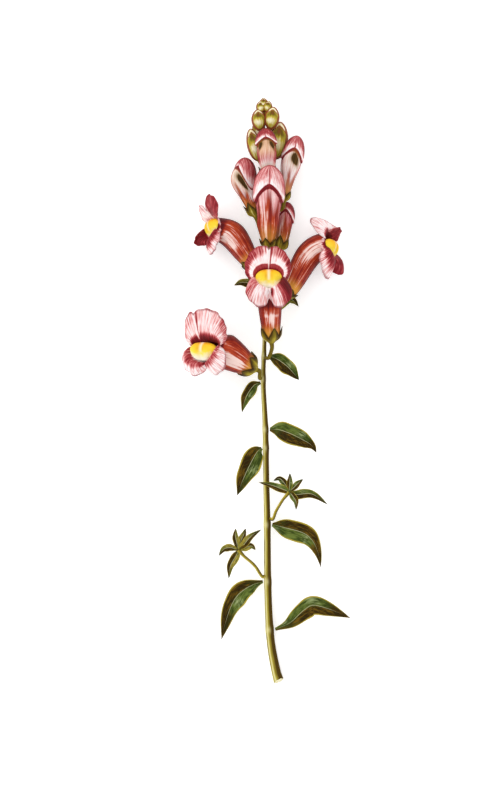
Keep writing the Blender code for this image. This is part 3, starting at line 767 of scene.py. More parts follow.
@dataclass(frozen=True)
class SepalFinish:
    """Sepals, stalks and unopened buds: olive, with brown edges, russet rims, painted shade and
    painted highlights.
    """

    light: Colour = (0.92, 0.84, 0.58, 1.0)
    olive: Colour = (0.52, 0.41, 0.040, 1.0)
    moss: Colour = (0.19, 0.135, 0.010, 1.0)
    brown: Colour = (0.050, 0.026, 0.003, 1.0)
    russet: Colour = (0.26, 0.065, 0.018, 1.0)

    def material(self) -> bpy.types.Material:
        """Returns the sepals' material."""
        graph = Graph("sepal")
        around, along = graph.way()
        stroke = graph.noise(around * 40.0, along * 4.0, graph.read("seed"))
        fine = graph.noise(around * 120.0, along * 14.0, graph.read("seed"))
        patch = graph.grain(330.0)
        brush = strokes((stroke, 0.6), (fine, 0.4), (patch, 0.3))
        # The shade field is the sepals' own tone, and on stalks and green buds also painted shade and
        # painted highlights; russet also marks sides in painted shade.
        shade = graph.read("shade") + brush * 0.8
        colour = graph.ramp(shade, (0.08, self.light), (0.3, self.olive), (0.56, self.moss),
                            (0.86, self.brown))
        colour = graph.mix(colour, self.russet, (graph.read("russet") + brush * 0.5).rise(0.3, 0.7))
        graph.relief(stroke * 0.5 + fine * 0.5, 0.00018)
        return graph.done(colour, 0.5, Specular_IOR_Level=0.1)


@cache
def finish(slot: Slot) -> bpy.types.Material:
    """Returns a slot's finish, which is mixed when it is first asked for."""
    finishes = {Slot.PETAL: PetalFinish, Slot.PALATE: PalateFinish, Slot.LEAF: LeafFinish,
                Slot.STEM: StemFinish, Slot.SEPAL: SepalFinish}
    return finishes[slot]().material()


@dataclass
class Stalk:
    """A round stalk through places.

    Attributes:
        curve: its middle.
        start: half width at its start.
        end: half width at its end.
    """

    curve: Curve
    start: float
    end: float
    sides: int = 24
    rows: int = 36

    def form(self, seed: float = 0.0) -> Form:
        """Returns the stalk's form, with the seed of its pattern."""
        shares = np.concatenate(([0.0], np.linspace(0.0, 1.0, self.rows), [1.0]))
        made = Form.rod(self.curve, shares, self.sides,
                        lambda share, turn: self.start + (self.end - self.start) * share)
        # Painted shade: one side of the stalk darker than the other.
        made.fields.update(seed=seed, along=made.along(shares),
                           shade=0.5 - 0.25 * np.cos(made.turn))
        return made


@dataclass
class MainStem:
    """The main stem: tapering, slightly bent, swollen at its joints and cut at its end.

    Attributes:
        top: where the green tip takes over.
        cut_slant, cut_back: how far the cut leans sideways, and back, so that it shows from above.
        cut_reach: how far the rings near the cut lean with it.
        groove: depth of its fine grooves.
        cap, close: widths of the rings that close its cut end and its top.
        map_length: length of the stem that the finish counts as one.
    """

    top: float = 124.0
    cut_slant: float = 0.25
    cut_back: float = 0.42
    cut_reach: float = 5.0
    sides: int = 56
    rings: int = 300
    groove: float = 0.05
    cap: tuple[float, ...] = (0.0, 0.35, 0.62, 0.8, 0.93)
    close: tuple[float, ...] = (0.94, 0.6, 0.0)
    map_length: float = 300.0

    def build(self) -> bpy.types.Object:
        """Builds the stem and returns it."""
        first = LINE.rows[0][0]
        wide = np.concatenate((self.cap, np.ones(self.rings), self.close))
        ways = np.concatenate((np.full(len(self.cap), first),
                               np.linspace(first, self.top, self.rings),
                               np.full(len(self.close), self.top)))

        def place(row: int, turn: Array) -> Array:
            """Returns the points of one ring.

            Args:
                row: the ring's row.
                turn: the turns of its points.

            Returns:
                The points, one to a row.
            """
            middle, half = LINE.at(ways[row])
            ahead = LINE.at(ways[row] + 1.0)[0]
            ribs = 1.0 + self.groove * np.sin(turn * 5.0 + 0.7) * (wide[row] == 1.0)
            points = hoop(middle, across_and_above(unit(ahead - middle)), turn,
                          half * wide[row] * ribs)
            near = max(0.0, 1.0 - (ways[row] - first) / self.cut_reach)
            points[:, 1] += (points[:, 0] - middle[0]) * self.cut_slant * near
            points[:, 1] += points[:, 2] * self.cut_back * near
            if row <= len(self.cap):
                ragged = np.sin(turn * 7.0) * 0.16 + np.sin(turn * 12.0 + 1.0) * 0.1
                points[:, 1] += ragged * wide[row] + 0.3 * (1.0 - wide[row])
            points[:, 2] = np.maximum(points[:, 2], 0.0)
            return points

        made = Form.ball(self.sides, len(wide) - 2).lay(place)
        left = np.cos(made.turn)
        along = made.along(ways)
        scar = sum(peak(along, joint, 1.5) for joint in LINE.joints)
        # Painted light and shade: the left side pale, the right side dark.
        made.fields.update(along=(along - first) / self.map_length, shade=0.5 - 0.5 * left,
                           scar=np.clip(scar, 0.0, 1.0) * ease(left + 0.6),
                           cut=made.row < len(self.cap))
        return made.piece("main_stem", Slot.STEM, "stem")


@dataclass
class Blade:
    """One leaf blade, folded up along its midrib and waved at its edge.

    Attributes:
        spine: places along its midrib.
        width, wave: full width, and height of the edge's waves.
        roll, fold: turn about the midrib, and how far each half is folded up, in degrees.
        stalk, thick: width of its foot, and thickness at the midrib.
        shade_side: the side painted dark brown as shade: 1 for the left, looking along the spine, or
            -1.
        tip_dark, gold: how dark its end is, and how golden all of it.
        bend: share of the way where its painted highlight lies.
        belly: where it is widest: less than 1 is nearer its foot than its end.
        cells, sweep: how fast the small folds between its veins follow one another, and how far
            they lie back at the edge.
    """

    spine: tuple[Place, ...]
    width: float
    wave: float
    roll: float = 0.0
    stalk: float = 1.3
    thick: float = 0.66
    fold: float = 18.0
    shade_side: float = -1.0
    tip_dark: float = 0.0
    bend: float = 0.5
    gold: float = 0.0
    belly: float = 0.86
    cells: float = 92.0
    sweep: float = 0.14
    sides: int = 60
    rows: int = 66

    def form(self, seed: float) -> Form:
        """Returns the blade's form.

        Args:
            seed: where its pattern starts.

        Returns:
            The form, with its fields.
        """
        curve = Curve(self.spine)
        shares = np.concatenate(([0.0], np.linspace(0.004, 0.996, self.rows), [1.0]))
        fold, tilt = math.radians(self.fold), math.radians(self.roll)

        def place(row: int, turn: Array) -> Array:
            """Returns the points of one ring.

            Args:
                row: the ring's row.
                turn: the turns of its points.

            Returns:
                The points, one to a row.
            """
            along = shares[row]
            side = -np.cos(turn)
            off = np.abs(side)
            level, up = across_and_above(curve.way(along))
            outward = level * math.cos(tilt) + up * math.sin(tilt)
            face = up * math.cos(tilt) - level * math.sin(tilt)
            swell = max(math.sin(math.pi * along ** self.belly), 0.0) ** 1.25
            swell = swell * (0.5 + 0.5 * float(grow(along, 0.0, 0.26)))
            half = (self.stalk * (1.0 - along) ** 2 + self.width * swell) * 0.5
            half = half * (1.0 + 0.05 * np.sin(along * 16.0 + 2.0 * side + self.width))
            half += 0.2 * fade(along, 0.9, 0.1)
            rise = off * half * math.sin(fold)
            ripple = self.wave * side * side * np.sin(along * 15.0 + 1.4 * (side > 0.0)) * swell
            groove = -0.22 * peak(side, 0.0, 0.12) * min(swell * 2.0, 1.0)
            quilt = 0.05 * np.sin((along - off * self.sweep) * self.cells) * (1.0 - off) * swell
            ends = min(along / 0.02, (1.0 - along) / 0.03, 1.0)
            body = np.sign(np.sin(turn)) * np.abs(np.sin(turn)) ** 0.6 * self.thick * 0.5 * ends
            height = rise + ripple + groove + quilt - self.thick * 0.5 + body
            return (curve.at(along) + (side * half * math.cos(fold))[:, None] * outward
                    + height[:, None] * face)

        made = Form.ball(self.sides, self.rows).lay(place)
        side = -np.cos(made.turn)
        along = made.along(shares)
        # Painted shade: one half of the folded blade is dark brown, less so near the foot; the end is
        # darker too.
        dark = ease(0.5 + side * self.shade_side * 3.0)
        dark = np.maximum(dark * (1.0 - 0.4 * peak(along, 0.12, 0.2)),
                          self.tip_dark * grow(along, 0.5, 0.3))
        # A painted highlight on the green half at the bend and near the foot, which also lightens the
        # painted shade there.
        mist = np.maximum(
            0.7 * peak(along, self.bend, 0.12) * ease(0.7 - side * self.shade_side),
            0.7 * peak(along, 0.12, 0.1) * ease(0.4 - side * self.shade_side))
        made.fields.update(around=side * 0.5 + 0.5, along=along, dark=dark - 0.6 * mist, mist=mist,
                           young=self.gold * (1.0 - dark), slender=self.width / 0.55, seed=seed)
        return made


@dataclass
class Leaves:
    """The seven leaves and two bracts.

    Attributes:
        full_foot: names of the leaves that are widest near their foot.
        bellies: the belly of the others, and theirs.
        plan: name, joint, side of the stem, spine, width, wave, roll, the side painted dark as shade,
            and dark tip.
        bracts: the same for each bract.
    """

    full_foot: tuple[str, ...] = ("middle_right", "upper_right")
    bellies: tuple[float, float] = (0.86, 0.66)
    plan: tuple[tuple, ...] = (
        ("lowest_right", -120.0, (1.0, 0.0, 0.2), ((11.4, -116.5, 6.0), (18.2, -110.2, 8.6),
         (23.4, -107.1, 9.6), (31.2, -108.9, 8.2), (37.4, -111.5, 5.4), (43.7, -114.4, 2.0)),
         10.2, 0.7, 8.0, -1.0, 0.9),
        ("lowest_left", -94.8, (-1.0, 0.0, 0.2), ((-8.5, -96.8, 7.6), (-14.9, -101.0, 8.6),
         (-19.1, -107.4, 7.6), (-22.3, -117.0, 4.8), (-24.4, -126.0, 1.6)),
         10.4, 0.6, -8.0, -1.0, 0.7),
        ("middle_right", -65.0, (1.0, 0.0, 0.2), ((8.3, -66.5, 9.6), (18.0, -69.2, 10.6),
         (23.2, -73.4, 9.4), (26.2, -80.0, 6.6), (27.8, -88.2, 3.4)),
         10.6, 0.7, 8.0, 1.0, 0.9),
        ("middle_left", -25.0, (-1.0, 0.0, 0.2), ((-6.0, -27.6, 11.2), (-10.1, -35.2, 11.6),
         (-13.6, -43.0, 10.0), (-16.2, -50.3, 7.4)), 10.6, 0.6, -6.0, -1.0, 0.5),
        ("upper_right", -15.3, (1.0, 0.0, 0.2), ((6.2, -15.6, 12.4), (12.8, -18.0, 13.8),
         (19.2, -21.3, 12.6), (23.2, -24.0, 10.6), (25.4, -27.8, 9.6)), 10.0, 0.6, 8.0, -1.0, 0.95),
        ("highest_left", 9.0, (-0.9, 0.0, -0.6), ((-7.3, 7.6, 9.0), (-10.7, 2.9, 9.4),
         (-12.4, -1.4, 8.8), (-13.6, -6.8, 7.6)), 5.8, 0.4, -8.0, -1.0, 0.0),
        ("highest_right", 23.0, (1.0, 0.0, -0.2), ((4.7, 21.3, 13.0), (9.9, 17.6, 13.8),
         (13.6, 13.6, 12.6), (16.4, 10.2, 11.0)), 7.8, 0.5, 8.0, -1.0, 0.0),
    )
    bracts: tuple[tuple, ...] = (
        ("left", 58.0, (-1.0, 0.0, -0.3), ((-8.8, 60.6, 12.6), (-13.8, 61.2, 13.6),
         (-17.9, 59.6, 13.2)), 4.2, 0.3, -8.0, 1.0, 0.0),
        ("right", 45.0, (1.0, 0.0, -0.7), ((4.0, 48.0, 9.2), (10.4, 52.8, 7.4),
         (13.6, 51.6, 7.4), (16.2, 48.6, 7.4)), 5.0, 0.3, 0.0, 1.0, 0.0),
    )

    def build(self) -> list[bpy.types.Object]:
        """Builds the leaves and the bracts, and returns them."""
        made = []
        for kind, rows in (("leaf", self.plan), ("bract", self.bracts)):
            for number, (name, joint, side, places, *sizes, dark, tip) in enumerate(rows):
                start = tuple(LINE.beside(joint, side, LEAF_GAP))
                blade = Blade((start,) + places, *sizes, shade_side=dark, tip_dark=tip,
                              gold=0.5 * (kind == "bract"),
                              belly=self.bellies[name in self.full_foot])
                form = blade.form(number * 3.1 + len(kind))
                made.append(form.piece(f"{kind}_blade_{name}", Slot.LEAF, f"{kind}_{name}"))
        return made


@dataclass
class Shoots:
    """The two side shoots, each a stalk with a whorl of narrow leaves.

    Attributes:
        stalk, knot: width of a shoot's stalk, and half width of the knot that its whorl grows from.
        bow: how far the stalk first goes straight out of the stem.
        full: how much wider a blade is than its plan says.
        plan: name, joint, side, stalk places, and each blade's places, width and the side painted
            dark as shade.
    """

    stalk: float = 1.5
    knot: float = 1.1
    bow: float = 1.7
    full: float = 1.22
    plan: tuple[tuple, ...] = (
        ("right", -62.0, (0.8, 0.0, 0.6), ((4.4, -57.6, 10.4), (8.0, -51.6, 12.0),
         (11.0, -48.0, 12.6)), (
            (((8.6, -46.8, 13.4), (2.0, -44.4, 13.2), (-5.1, -42.8, 12.2)), 3.0, 1.0),
            (((9.4, -44.6, 12.6), (6.2, -41.0, 12.0), (2.6, -42.2, 9.9)), 2.4, -1.0),
            (((11.2, -44.6, 13.6), (11.4, -41.4, 13.6), (11.4, -37.9, 12.6)), 2.2, 1.0),
            (((13.4, -45.6, 13.2), (16.0, -43.0, 13.2), (18.4, -41.1, 12.2)), 2.2, -1.0),
            (((15.0, -49.2, 12.6), (23.0, -49.0, 13.0), (31.6, -54.8, 10.0)), 3.8, -1.0),
            (((12.6, -49.6, 14.0), (14.6, -53.0, 13.4), (14.6, -57.4, 11.0)), 2.4, 1.0),
        )),
        ("left", -92.0, (-0.8, 0.0, 0.6), ((-7.0, -86.4, 8.2), (-12.6, -81.4, 9.0),
         (-15.4, -78.2, 9.2)), (
            (((-19.4, -77.0, 10.0), (-23.0, -77.8, 9.0), (-25.8, -81.6, 6.6)), 2.8, 1.0),
            (((-16.2, -74.6, 10.0), (-17.0, -70.6, 10.0), (-16.8, -66.8, 9.0)), 2.6, 1.0),
            (((-14.4, -74.4, 9.4), (-12.8, -70.4, 9.2), (-11.5, -66.8, 8.4)), 2.6, -1.0),
            (((-12.6, -75.4, 10.2), (-8.8, -71.0, 10.8), (-3.2, -67.4, 10.0)), 2.8, -1.0),
            (((-12.4, -77.2, 9.8), (-8.6, -76.2, 9.4), (-6.4, -78.5, 7.8)), 2.6, 1.0),
            (((-16.6, -81.2, 10.0), (-19.6, -86.6, 9.4), (-20.5, -93.6, 6.4)), 3.4, -1.0),
        )),
    )

    def build(self) -> list[bpy.types.Object]:
        """Builds the shoots and returns them."""
        made = []
        for number, (name, joint, side, places, blades) in enumerate(self.plan):
            start = LINE.beside(joint, side)
            leave = start + unit(np.array(side)) * self.bow
            middle = Curve.through((start, leave) + places)
            stem = Stalk(middle, self.stalk * 0.55, self.stalk * 0.5).form(number * 5.0)
            knot = Stalk(Curve(places[-2:]), self.stalk * 0.5, self.knot, rows=6).form()
            parts = [stem.write(f"shoot_stalk_{name}", Slot.SEPAL), knot.write("knot", Slot.SEPAL)]
            for place, (spine, width, shade_side) in enumerate(blades):
                blade = Blade((places[-1],) + spine, width * self.full, 0.15, stalk=1.1, thick=0.6,
                              shade_side=shade_side, tip_dark=0.4, gold=0.3 + 0.3 * number,
                              belly=0.95, sides=32, rows=34)
                parts.append(blade.form(place * 2.3).write("blade", Slot.LEAF))
            made.append(join(parts, f"side_shoot_{name}", Slot.LEAF, f"shoot_{name}"))
        return made


@dataclass(frozen=True)
class Bearing:
    """Where a flower or a bud stands, and which way it faces.

    Attributes:
        foot: its foot in the plan.
        axes: its right, upper and forward directions, as columns.
    """

    foot: Array
    axes: Array

    @classmethod
    def facing(cls, foot: Place, forward: Array, upward: Array) -> "Bearing":
        """Returns the bearing of a flower that faces forward, with its upper side upward."""
        front = unit(np.array(forward, float))
        right = unit(np.cross(upward, front))
        return cls(np.array(foot, float), np.stack((right, np.cross(front, right), front), axis=1))

    def inwards(self, points: Array) -> Array:
        """Returns places in the plan as places in the flower's own frame."""
        return (np.asarray(points, float) - self.foot) @ self.axes

    def outwards(self, points: Array) -> Array:
        """Returns places in the flower's own frame as places in the plan."""
        return points @ self.axes.T + self.foot


Surface = Callable[[Array, Array | float], Array]


def lifted(surface: Surface, turn: Array, along: Array | float, lift: Array | float,
           small: float = 0.004) -> Array:
    """Returns points of a surface, raised from it.

    Args:
        surface: gives a point at a turn and a place along.
        turn: the turns.
        along: the places along.
        lift: how far the points are raised.
        small: the step that the surface's slope is taken over.

    Returns:
        The raised points, one to a row.
    """
    around = surface(turn + small, along) - surface(turn - small, along)
    forward = surface(turn, along + small) - surface(turn, along - small)
    normal = unit(np.cross(around, forward))
    return surface(turn, along) + normal * np.reshape(spread(lift, len(turn)), (-1, 1))


@dataclass(frozen=True)
class Corolla:
    """The skin of an open flower: a tube that opens into an upper and a lower lip.

    A place along it is 0 at the foot, 1 at the mouth and 2 at the margin. Turns count from the
    right side of the mouth round over the top.

    Attributes:
        mouth, size: the mouth's place in the flower's own frame, and the share of full size.
        lobes: start and end in degrees, margin radius at both, stand past them, forward, and
            how much further forward the start is than the end.
        swell, full_at: how much wider the tube is than its foot, and where it is so.
        mouth_roof: height of the mouth's roof, as a share of the tube's half width.
        jut, notch_forward: how far forward the notches stand, and the lower lip's further.
        lobe_full, narrow: how square the lobes are, and how narrow they set out.
        throat, lip: how far the upper lip goes forward before it turns out, and the lower further.
        ruffle: height of the small waves along the margin.
        pull, upturn: how long the tube goes straight at both ends, and how it turns at its mouth.
    """

    mouth: Array
    size: float
    lobes: tuple[tuple[float, ...], ...]
    swell: float
    mouth_roof: float
    jut: float
    lobe_full: float = 0.5
    notch_forward: float = 1.0
    foot_half: float = 4.1
    full_at: float = 0.85
    narrow: float = 0.86
    throat: float = 4.0
    lip: float = 5.0
    ruffle: float = 0.3
    pull: tuple[float, float] = (0.36, 0.34)
    upturn: float = 1.2

    def angle(self, turn: Array) -> Array:
        """Returns turns in degrees, from the first lobe's start."""
        start = self.lobes[0][0]
        return (np.degrees(turn) - start) % 360.0 + start

    def margin(self, turn: Array) -> tuple[Array, Array, Array]:
        """Returns the margin.

        Args:
            turn: the turns.

        Returns:
            Its radius, how far forward it stands, and the share of the way across its lobe.
        """
        angle = self.angle(turn)
        radius = np.full(angle.shape, self.lobes[0][2])
        notch = self.notch_forward + self.jut * ease(-np.sin(turn) * 2.0)
        forward = notch.copy()
        across = np.zeros(angle.shape)
        for start, end, near, far, stand, ahead, *lean in self.lobes:
            share = np.clip((angle - start) / (end - start), 0.0, 1.0)
            inside = (angle >= start) & (angle <= end)
            swell = np.maximum(np.sin(math.pi * share), 0.0) ** self.lobe_full
            radius = np.where(inside, near + (far - near) * share + stand * swell, radius)
            skew = 1.0 + sum(lean) * (1.0 - 2.0 * share)
            forward = np.where(inside, notch + (ahead - notch) * swell * skew, forward)
            across = np.where(inside & (stand > 0.0), share, across)
        return radius, forward, across

    def middle(self, share: Array) -> Array:
        """Returns the tube's middle line at shares of its way.

        Args:
            share: the shares.

        Returns:
            The points, one to a row.
        """
        start_way = unit(self.mouth)
        end_way = unit(start_way + AHEAD * self.upturn)
        start_pull, end_pull = (np.linalg.norm(self.mouth) * pull for pull in self.pull)
        share = share[..., None]
        rest = 1.0 - share
        return (start_way * start_pull * 3.0 * rest * rest * share
                + (self.mouth - end_way * end_pull) * 3.0 * rest * share * share
                + self.mouth * share ** 3)

    def _tube(self, turn: Array, share: Array) -> tuple[Array, Array]:
        """Returns points of the tube, and its direction there.

        Args:
            turn: the turns.
            share: shares of the tube's way.

        Returns:
            The points and the directions, one to a row.
        """
        way = unit(self.middle(share + 0.01) - self.middle(share - 0.01))
        half = self.foot_half + self.swell * np.sin(
            math.pi * 0.5 * np.minimum(share / self.full_at, 1.0))
        half = half * rounded(share, 0.1) * self.size
        roof = 1.0 - (1.0 - self.mouth_roof) * grow(share, 0.6, 0.4)
        high = half * np.where(np.sin(turn) > 0.0, roof, 1.0)
        return hoop(self.middle(share), right_and_above(way), turn, half, high), way

    def __call__(self, turn: Array, along: Array | float) -> Array:
        """Returns points of the outer skin.

        Args:
            turn: the turns.
            along: the places along.

        Returns:
            The points, one to a row.
        """
        turn = np.asarray(turn, float)
        along = spread(along, len(turn))
        tube = self._tube(turn, np.clip(along, 0.0, 1.0))[0]
        rim, way = self._tube(turn, np.ones(len(turn)))
        out = np.stack((np.cos(turn) * self.narrow, np.sin(turn), np.zeros(len(turn))), axis=-1)
        radius, forward, across = self.margin(turn)
        below = ease(0.5 - np.sin(turn) * 1.5)
        full = np.maximum(np.sin(math.pi * across), 0.0) ** self.lobe_full
        reach = (self.throat + self.lip * below) * (0.4 + 0.6 * full)
        edge = self.mouth + (out * radius[:, None] + AHEAD * forward[:, None]) * self.size
        bend = rim + (way * reach[:, None] + out * 1.2) * self.size
        share = np.maximum(along - 1.0, 0.0)
        rest = (1.0 - share)[:, None]
        wide = share[:, None]
        lip = rim * rest * rest + bend * 2.0 * rest * wide + edge * wide * wide
        waves = np.sin(turn * 13.0 + 0.8) + 0.7 * np.sin(turn * 22.0 + self.size * 9.0)
        pillow = np.sin(math.pi * across) * share * (1.0 - share) * 1.6
        lip = lip + AHEAD * (self.ruffle * waves * share ** 4 + pillow)[:, None] * self.size
        frill = (0.2 * np.sin(turn * 19.0 + 2.0) + 0.3 * below * np.sin(turn * 9.0)) * share ** 5
        lip = lip + out * frill[:, None] * self.size
        return np.where((along <= 1.0)[:, None], tube, lip)


@dataclass(frozen=True)
class FlowerLook:
    """How one open flower is stained.

    Attributes:
        gleam, bright, begin: the way that the tube's painted highlight faces, how strong it is, and
            the
        place along where it begins.
        arch: width of the crisp crimson arch over the mouth, the lip's stain made darker next to the
            mouth as painted shade.
        base, outer, flush: the upper lip's stain near the mouth, at the margin, and at least.
        ring, ring_end: the streaks round the palate, and the share of the lip where they fade.
        left, right: the stain at the sides of the lower lip.
        back, rim: the stain on the outer side of the lips, and their thin crimson edge.
        dusk: start and end in degrees, and strength, of each lobe that is dark all over.
        dim: place along the tube where a painted shadow darkens it under the lips.
        seed: where its pattern starts.
    """

    painted_highlight: Place
    arch: float = 0.0
    base: float = 1.0
    outer: float = 0.3
    ring: float = 0.9
    ring_end: float = 0.5
    left: float = 0.5
    right: float = 0.5
    back: float = 0.5
    rim: float = 0.85
    dusk: tuple[tuple[float, float, float], ...] = ()
    dim: float = 0.84
    bright: float = 0.38
    begin: float = 0.12
    flush: float = 0.1
    seed: float = 0.0


@dataclass
class Blossom:
    """What a flower and a bud share.

    Attributes:
        name: its name.
        joint, side: where its stalk leaves the stem, and on which side.
        foot: the foot of its tube.
    """

    name: str
    joint: float
    side: Place
    foot: Place


@dataclass
class Flower(Blossom):
    """One open flower: petals, palate and calyx.

    Attributes:
        mouth, forward, upward: its mouth, the way that it faces and the way to its upper side.
        size: share of full size.
        swell, roof, jut, lobes: as its corolla has them.
        cushion: half width, upper and lower height of its palate, how far it is above the mouth
            and how far before it.
        splits: turns in degrees between the upper lobes and between the lower lobes.
        sepal, look: length of its sepals, and how it is stained.
        petal: thickness of its petals.
        depth, floor: how far its palate reaches forward and back, and its least height.
        press: how far the palate is pressed into the petals.
        notch: length of the calyx's cup between its sepals.
        tube_rings, lip_rings, back_rings: places along where the rings of the outer side lie,
            and those of the tube's inner side.
        edge: depths of the two rings that close the margin, 1 being the inner side.
        end, pole: places along where the inner side ends and where it is closed.
        palate_grid: number of sides and of rings of the palate.
    """

    mouth: Place
    forward: Place
    upward: Place
    size: float
    swell: float
    roof: float
    jut: float
    cushion: tuple[float, float, float, float, float]
    splits: tuple[float, float]
    sepal: float
    lobes: tuple[tuple[float, ...], ...]
    look: FlowerLook
    petal: float = 0.8
    notch: float = 2.0
    depth: tuple[float, float] = (3.6, 4.0)
    floor: float = 0.9
    press: float = 0.3
    tube_rings: tuple[float, ...] = (0.006, 0.02, 0.04, 0.07, *np.linspace(0.1, 0.96, 24))
    lip_rings: tuple[float, ...] = (*np.linspace(0.0, 0.86, 30), 0.89, 0.92, 0.95, 0.975)
    back_rings: tuple[float, ...] = tuple(np.linspace(0.95, 0.12, 14))
    edge: tuple[float, float] = (0.2, 0.8)
    end: float = 0.1
    pole: float = 0.06
    palate_grid: tuple[int, int] = (72, 54)
    sides: int = 180

    def __post_init__(self) -> None:
        """Works out the bearing and the skin."""
        self.bearing = Bearing.facing(self.foot, np.array(self.forward), np.array(self.upward))
        self.local_mouth = self.bearing.inwards(self.mouth)
        self.skin = Corolla(self.local_mouth, self.size, self.lobes, self.swell, self.roof,
                            self.jut)

    def _down(self, points: Array, floor: float) -> Array:
        """Folds what would reach under a floor back along it, away from the flower's face.

        Args:
            points: the points.
            floor: the floor's height.

        Returns:
            The folded points.
        """
        flat = unit(np.array((-self.forward[0], -self.forward[1], 0.0)))
        depth = np.maximum(floor - points[:, 2], 0.0)
        points = points + flat * depth[:, None]
        points[:, 2] = np.maximum(points[:, 2], floor)
        return points

    def petals(self) -> tuple[bpy.types.Object, BVHTree]:
        """Builds the petals, as one skin with an outer and an inner side.

        Returns:
            The petals, and a tree of their faces that the palate is pressed against.
        """
        lip = 1.0 + np.array(self.lip_rings)
        outer = np.concatenate((self.tube_rings, lip))
        back = np.concatenate((lip[::-1], self.back_rings))
        alongs = np.concatenate(([0.0], outer, [2.0, 2.0], back, [self.end]))
        depth = np.concatenate((np.zeros(len(outer) + 1), self.edge, np.ones(len(back) + 1)))
        rows = len(alongs) - 2

        def place(row: int, turn: Array) -> Array:
            """Returns the points of one ring.

            Args:
                row: the ring's row.
                turn: the turns of its points.

            Returns:
                The points, one to a row.
            """
            along = alongs[row]
            if row > rows:
                inside = self.bearing.outwards(self.skin.middle(spread(self.pole, len(turn))))
                return self._down(inside, 0.0)
            thick = self.petal * (1.0 - 0.45 * float(grow(along, 1.0, 0.9)))
            points = (lifted(self.skin, turn, along, -thick * depth[row]) if depth[row]
                      else self.skin(turn, along))
            return self._down(self.bearing.outwards(points),
                              self.petal * (1.0 - depth[row]) + 0.01)

        made = Form.ball(self.sides, rows).lay(place)
        made.fields.update(self._stains(made, made.along(alongs), made.along(depth)))
        tree = BVHTree.FromBMesh(made.work)
        return made.piece(f"corolla_{self.name}", Slot.PETAL, f"flower_{self.name}_petals"), tree

    def _stains(self, made: Form, along: Array, depth: Array) -> dict[str, Array]:
        """Returns the fields that the petals' finish reads.

        Args:
            made: the petals' form.
            along: the places along.
            depth: 0 on the outer side and 1 on the inner side.

        Returns:
            The fields by name.
        """
        look, turn = self.look, made.turn
        angle = self.skin.angle(turn)
        split, divide = self.splits
        out = np.clip(along - 1.0, 0.0, 1.0)
        side = np.abs(np.cos(turn))
        upper = grow(np.sin(turn), -0.12, 0.1)
        # The crimson arch is the lip's stain, with painted shade making it darker next to the mouth.
        arch = (0.62 + 0.3 * fade(out, 0.1, 0.24)) * (look.arch > 0.0) * fade(out, look.arch, 0.04)
        base = look.base * fade(out, 0.26, 0.36)
        outer = look.outer * grow(out, 0.6, 0.26) * (0.62 + 0.6 * side)
        line = 0.8 * peak(angle, split - 5.0, 1.8) * grow(out, 0.3, 0.2)
        above = most(arch, base, outer, line, look.flush * (out > look.arch + 0.1))
        above = above * (1.0 - 0.95 * peak(angle, split, 2.6) * grow(out, 0.2, 0.1))
        edge = look.left + (look.right - look.left) * ease(np.cos(turn) * 3.0 + 0.5)
        ring = look.ring * fade(out, look.ring_end, 0.38)
        fold = 0.9 * peak(angle, divide + 10.0, 5.0) * fade(out, 0.5, 0.4)
        under = most(ring, 1.1 * edge * grow(side, 0.35, 0.5), fold, 0.18) * grow(out, 0.1, 0.2)
        inner = above * upper + under * (1.0 - upper)
        back = look.back + 0.8 * ring * (1.0 - upper)
        stain = back + (inner - back) * grow(depth, 0.3, 0.3)
        for start, end, strength in look.dusk:
            lobe = ease((angle - start) / 8.0 + 0.5) * ease((end - angle) / 8.0 + 0.5)
            stain = np.maximum(stain, strength * lobe * grow(out, 0.15, 0.2))
        # Painted shade: the tube's sides, turned away from the light above, go darker and lose their
        # amber.
        shaded = made.shaded() ** 1.6
        # A painted highlight: a pale streak along the tube where it faces one way. Where the painted
        # shadow starts low on the tube, a pale bar lies just before it.
        facing = made.facing(look.painted_highlight)
        painted_highlight = grow(facing, 0.84, 0.15) * grow(along, look.begin, 0.2)
        painted_highlight = painted_highlight * fade(along, look.dim - 0.1, 0.1)
        painted_highlight = np.maximum(painted_highlight, grow(facing, 0.6, 0.3) * peak(along, look.dim - 0.07, 0.025)
                           * (look.dim < 0.7))
        return {
            "along": along * 0.5,
            "seed": look.seed,
            "stain": stain,
            "streaky": 0.75 * (1.0 - 0.7 * upper * (out < look.arch)),
            "tube": fade(along, 1.02, 0.22) * (depth < 0.5),
            # The tube's tone with painted light: painted shade on sides turned from the light, a
            # painted shadow under the lips from dim on, and the painted highlight taken off.
            "tube_tone_and_painted_light": 0.31 + 0.75 * shaded + 0.6 * grow(along, look.dim, 0.1) - look.bright * painted_highlight,
            "amber": 0.85 * fade(along, 0.06, 0.2) * (1.0 - shaded),
            "rim": look.rim * grow(out, 0.948, 0.03) * (0.75 + 0.25 * np.sin(turn * 9.0)),
        }

    def palate(self, tree: BVHTree) -> bpy.types.Object:
        """Builds the palate, a grooved cushion that is pressed into the mouth.

        Args:
            tree: the faces of the petals.

        Returns:
            The palate.
        """
        across, up, down, rise, ahead = (length * self.size for length in self.cushion)
        front, back = (length * self.size for length in self.depth)
        middle = self.local_mouth + np.array((0.0, rise, ahead))
        made = Form.ball(*self.palate_grid)
        start = made.points.copy()

        def place(row: int, turn: Array) -> Array:
            """Returns the points of one ring.

            Args:
                row: the ring's row.
                turn: the turns of its points.

            Returns:
                The points, one to a row.
            """
            side, rise, out = start[made.row == row].T
            wide = np.sign(side) * np.abs(side) ** 0.85
            flat = np.stack((across * wide, rise * np.where(rise > 0.0, up, down), 0.0 * side),
                            axis=-1)
            ahead = out * np.where(out > 0.0, front, back) * (1.0 - 0.22 * peak(side, 0.0, 0.16))
            ahead = ahead + 0.5 * peak(np.abs(side), 0.4, 0.3) * (out > 0.0)
            centre = middle + AHEAD * ahead[:, None]
            flat = flat * self._room(tree, centre, flat)[:, None]
            return self._down(self.bearing.outwards(centre + flat), self.floor)

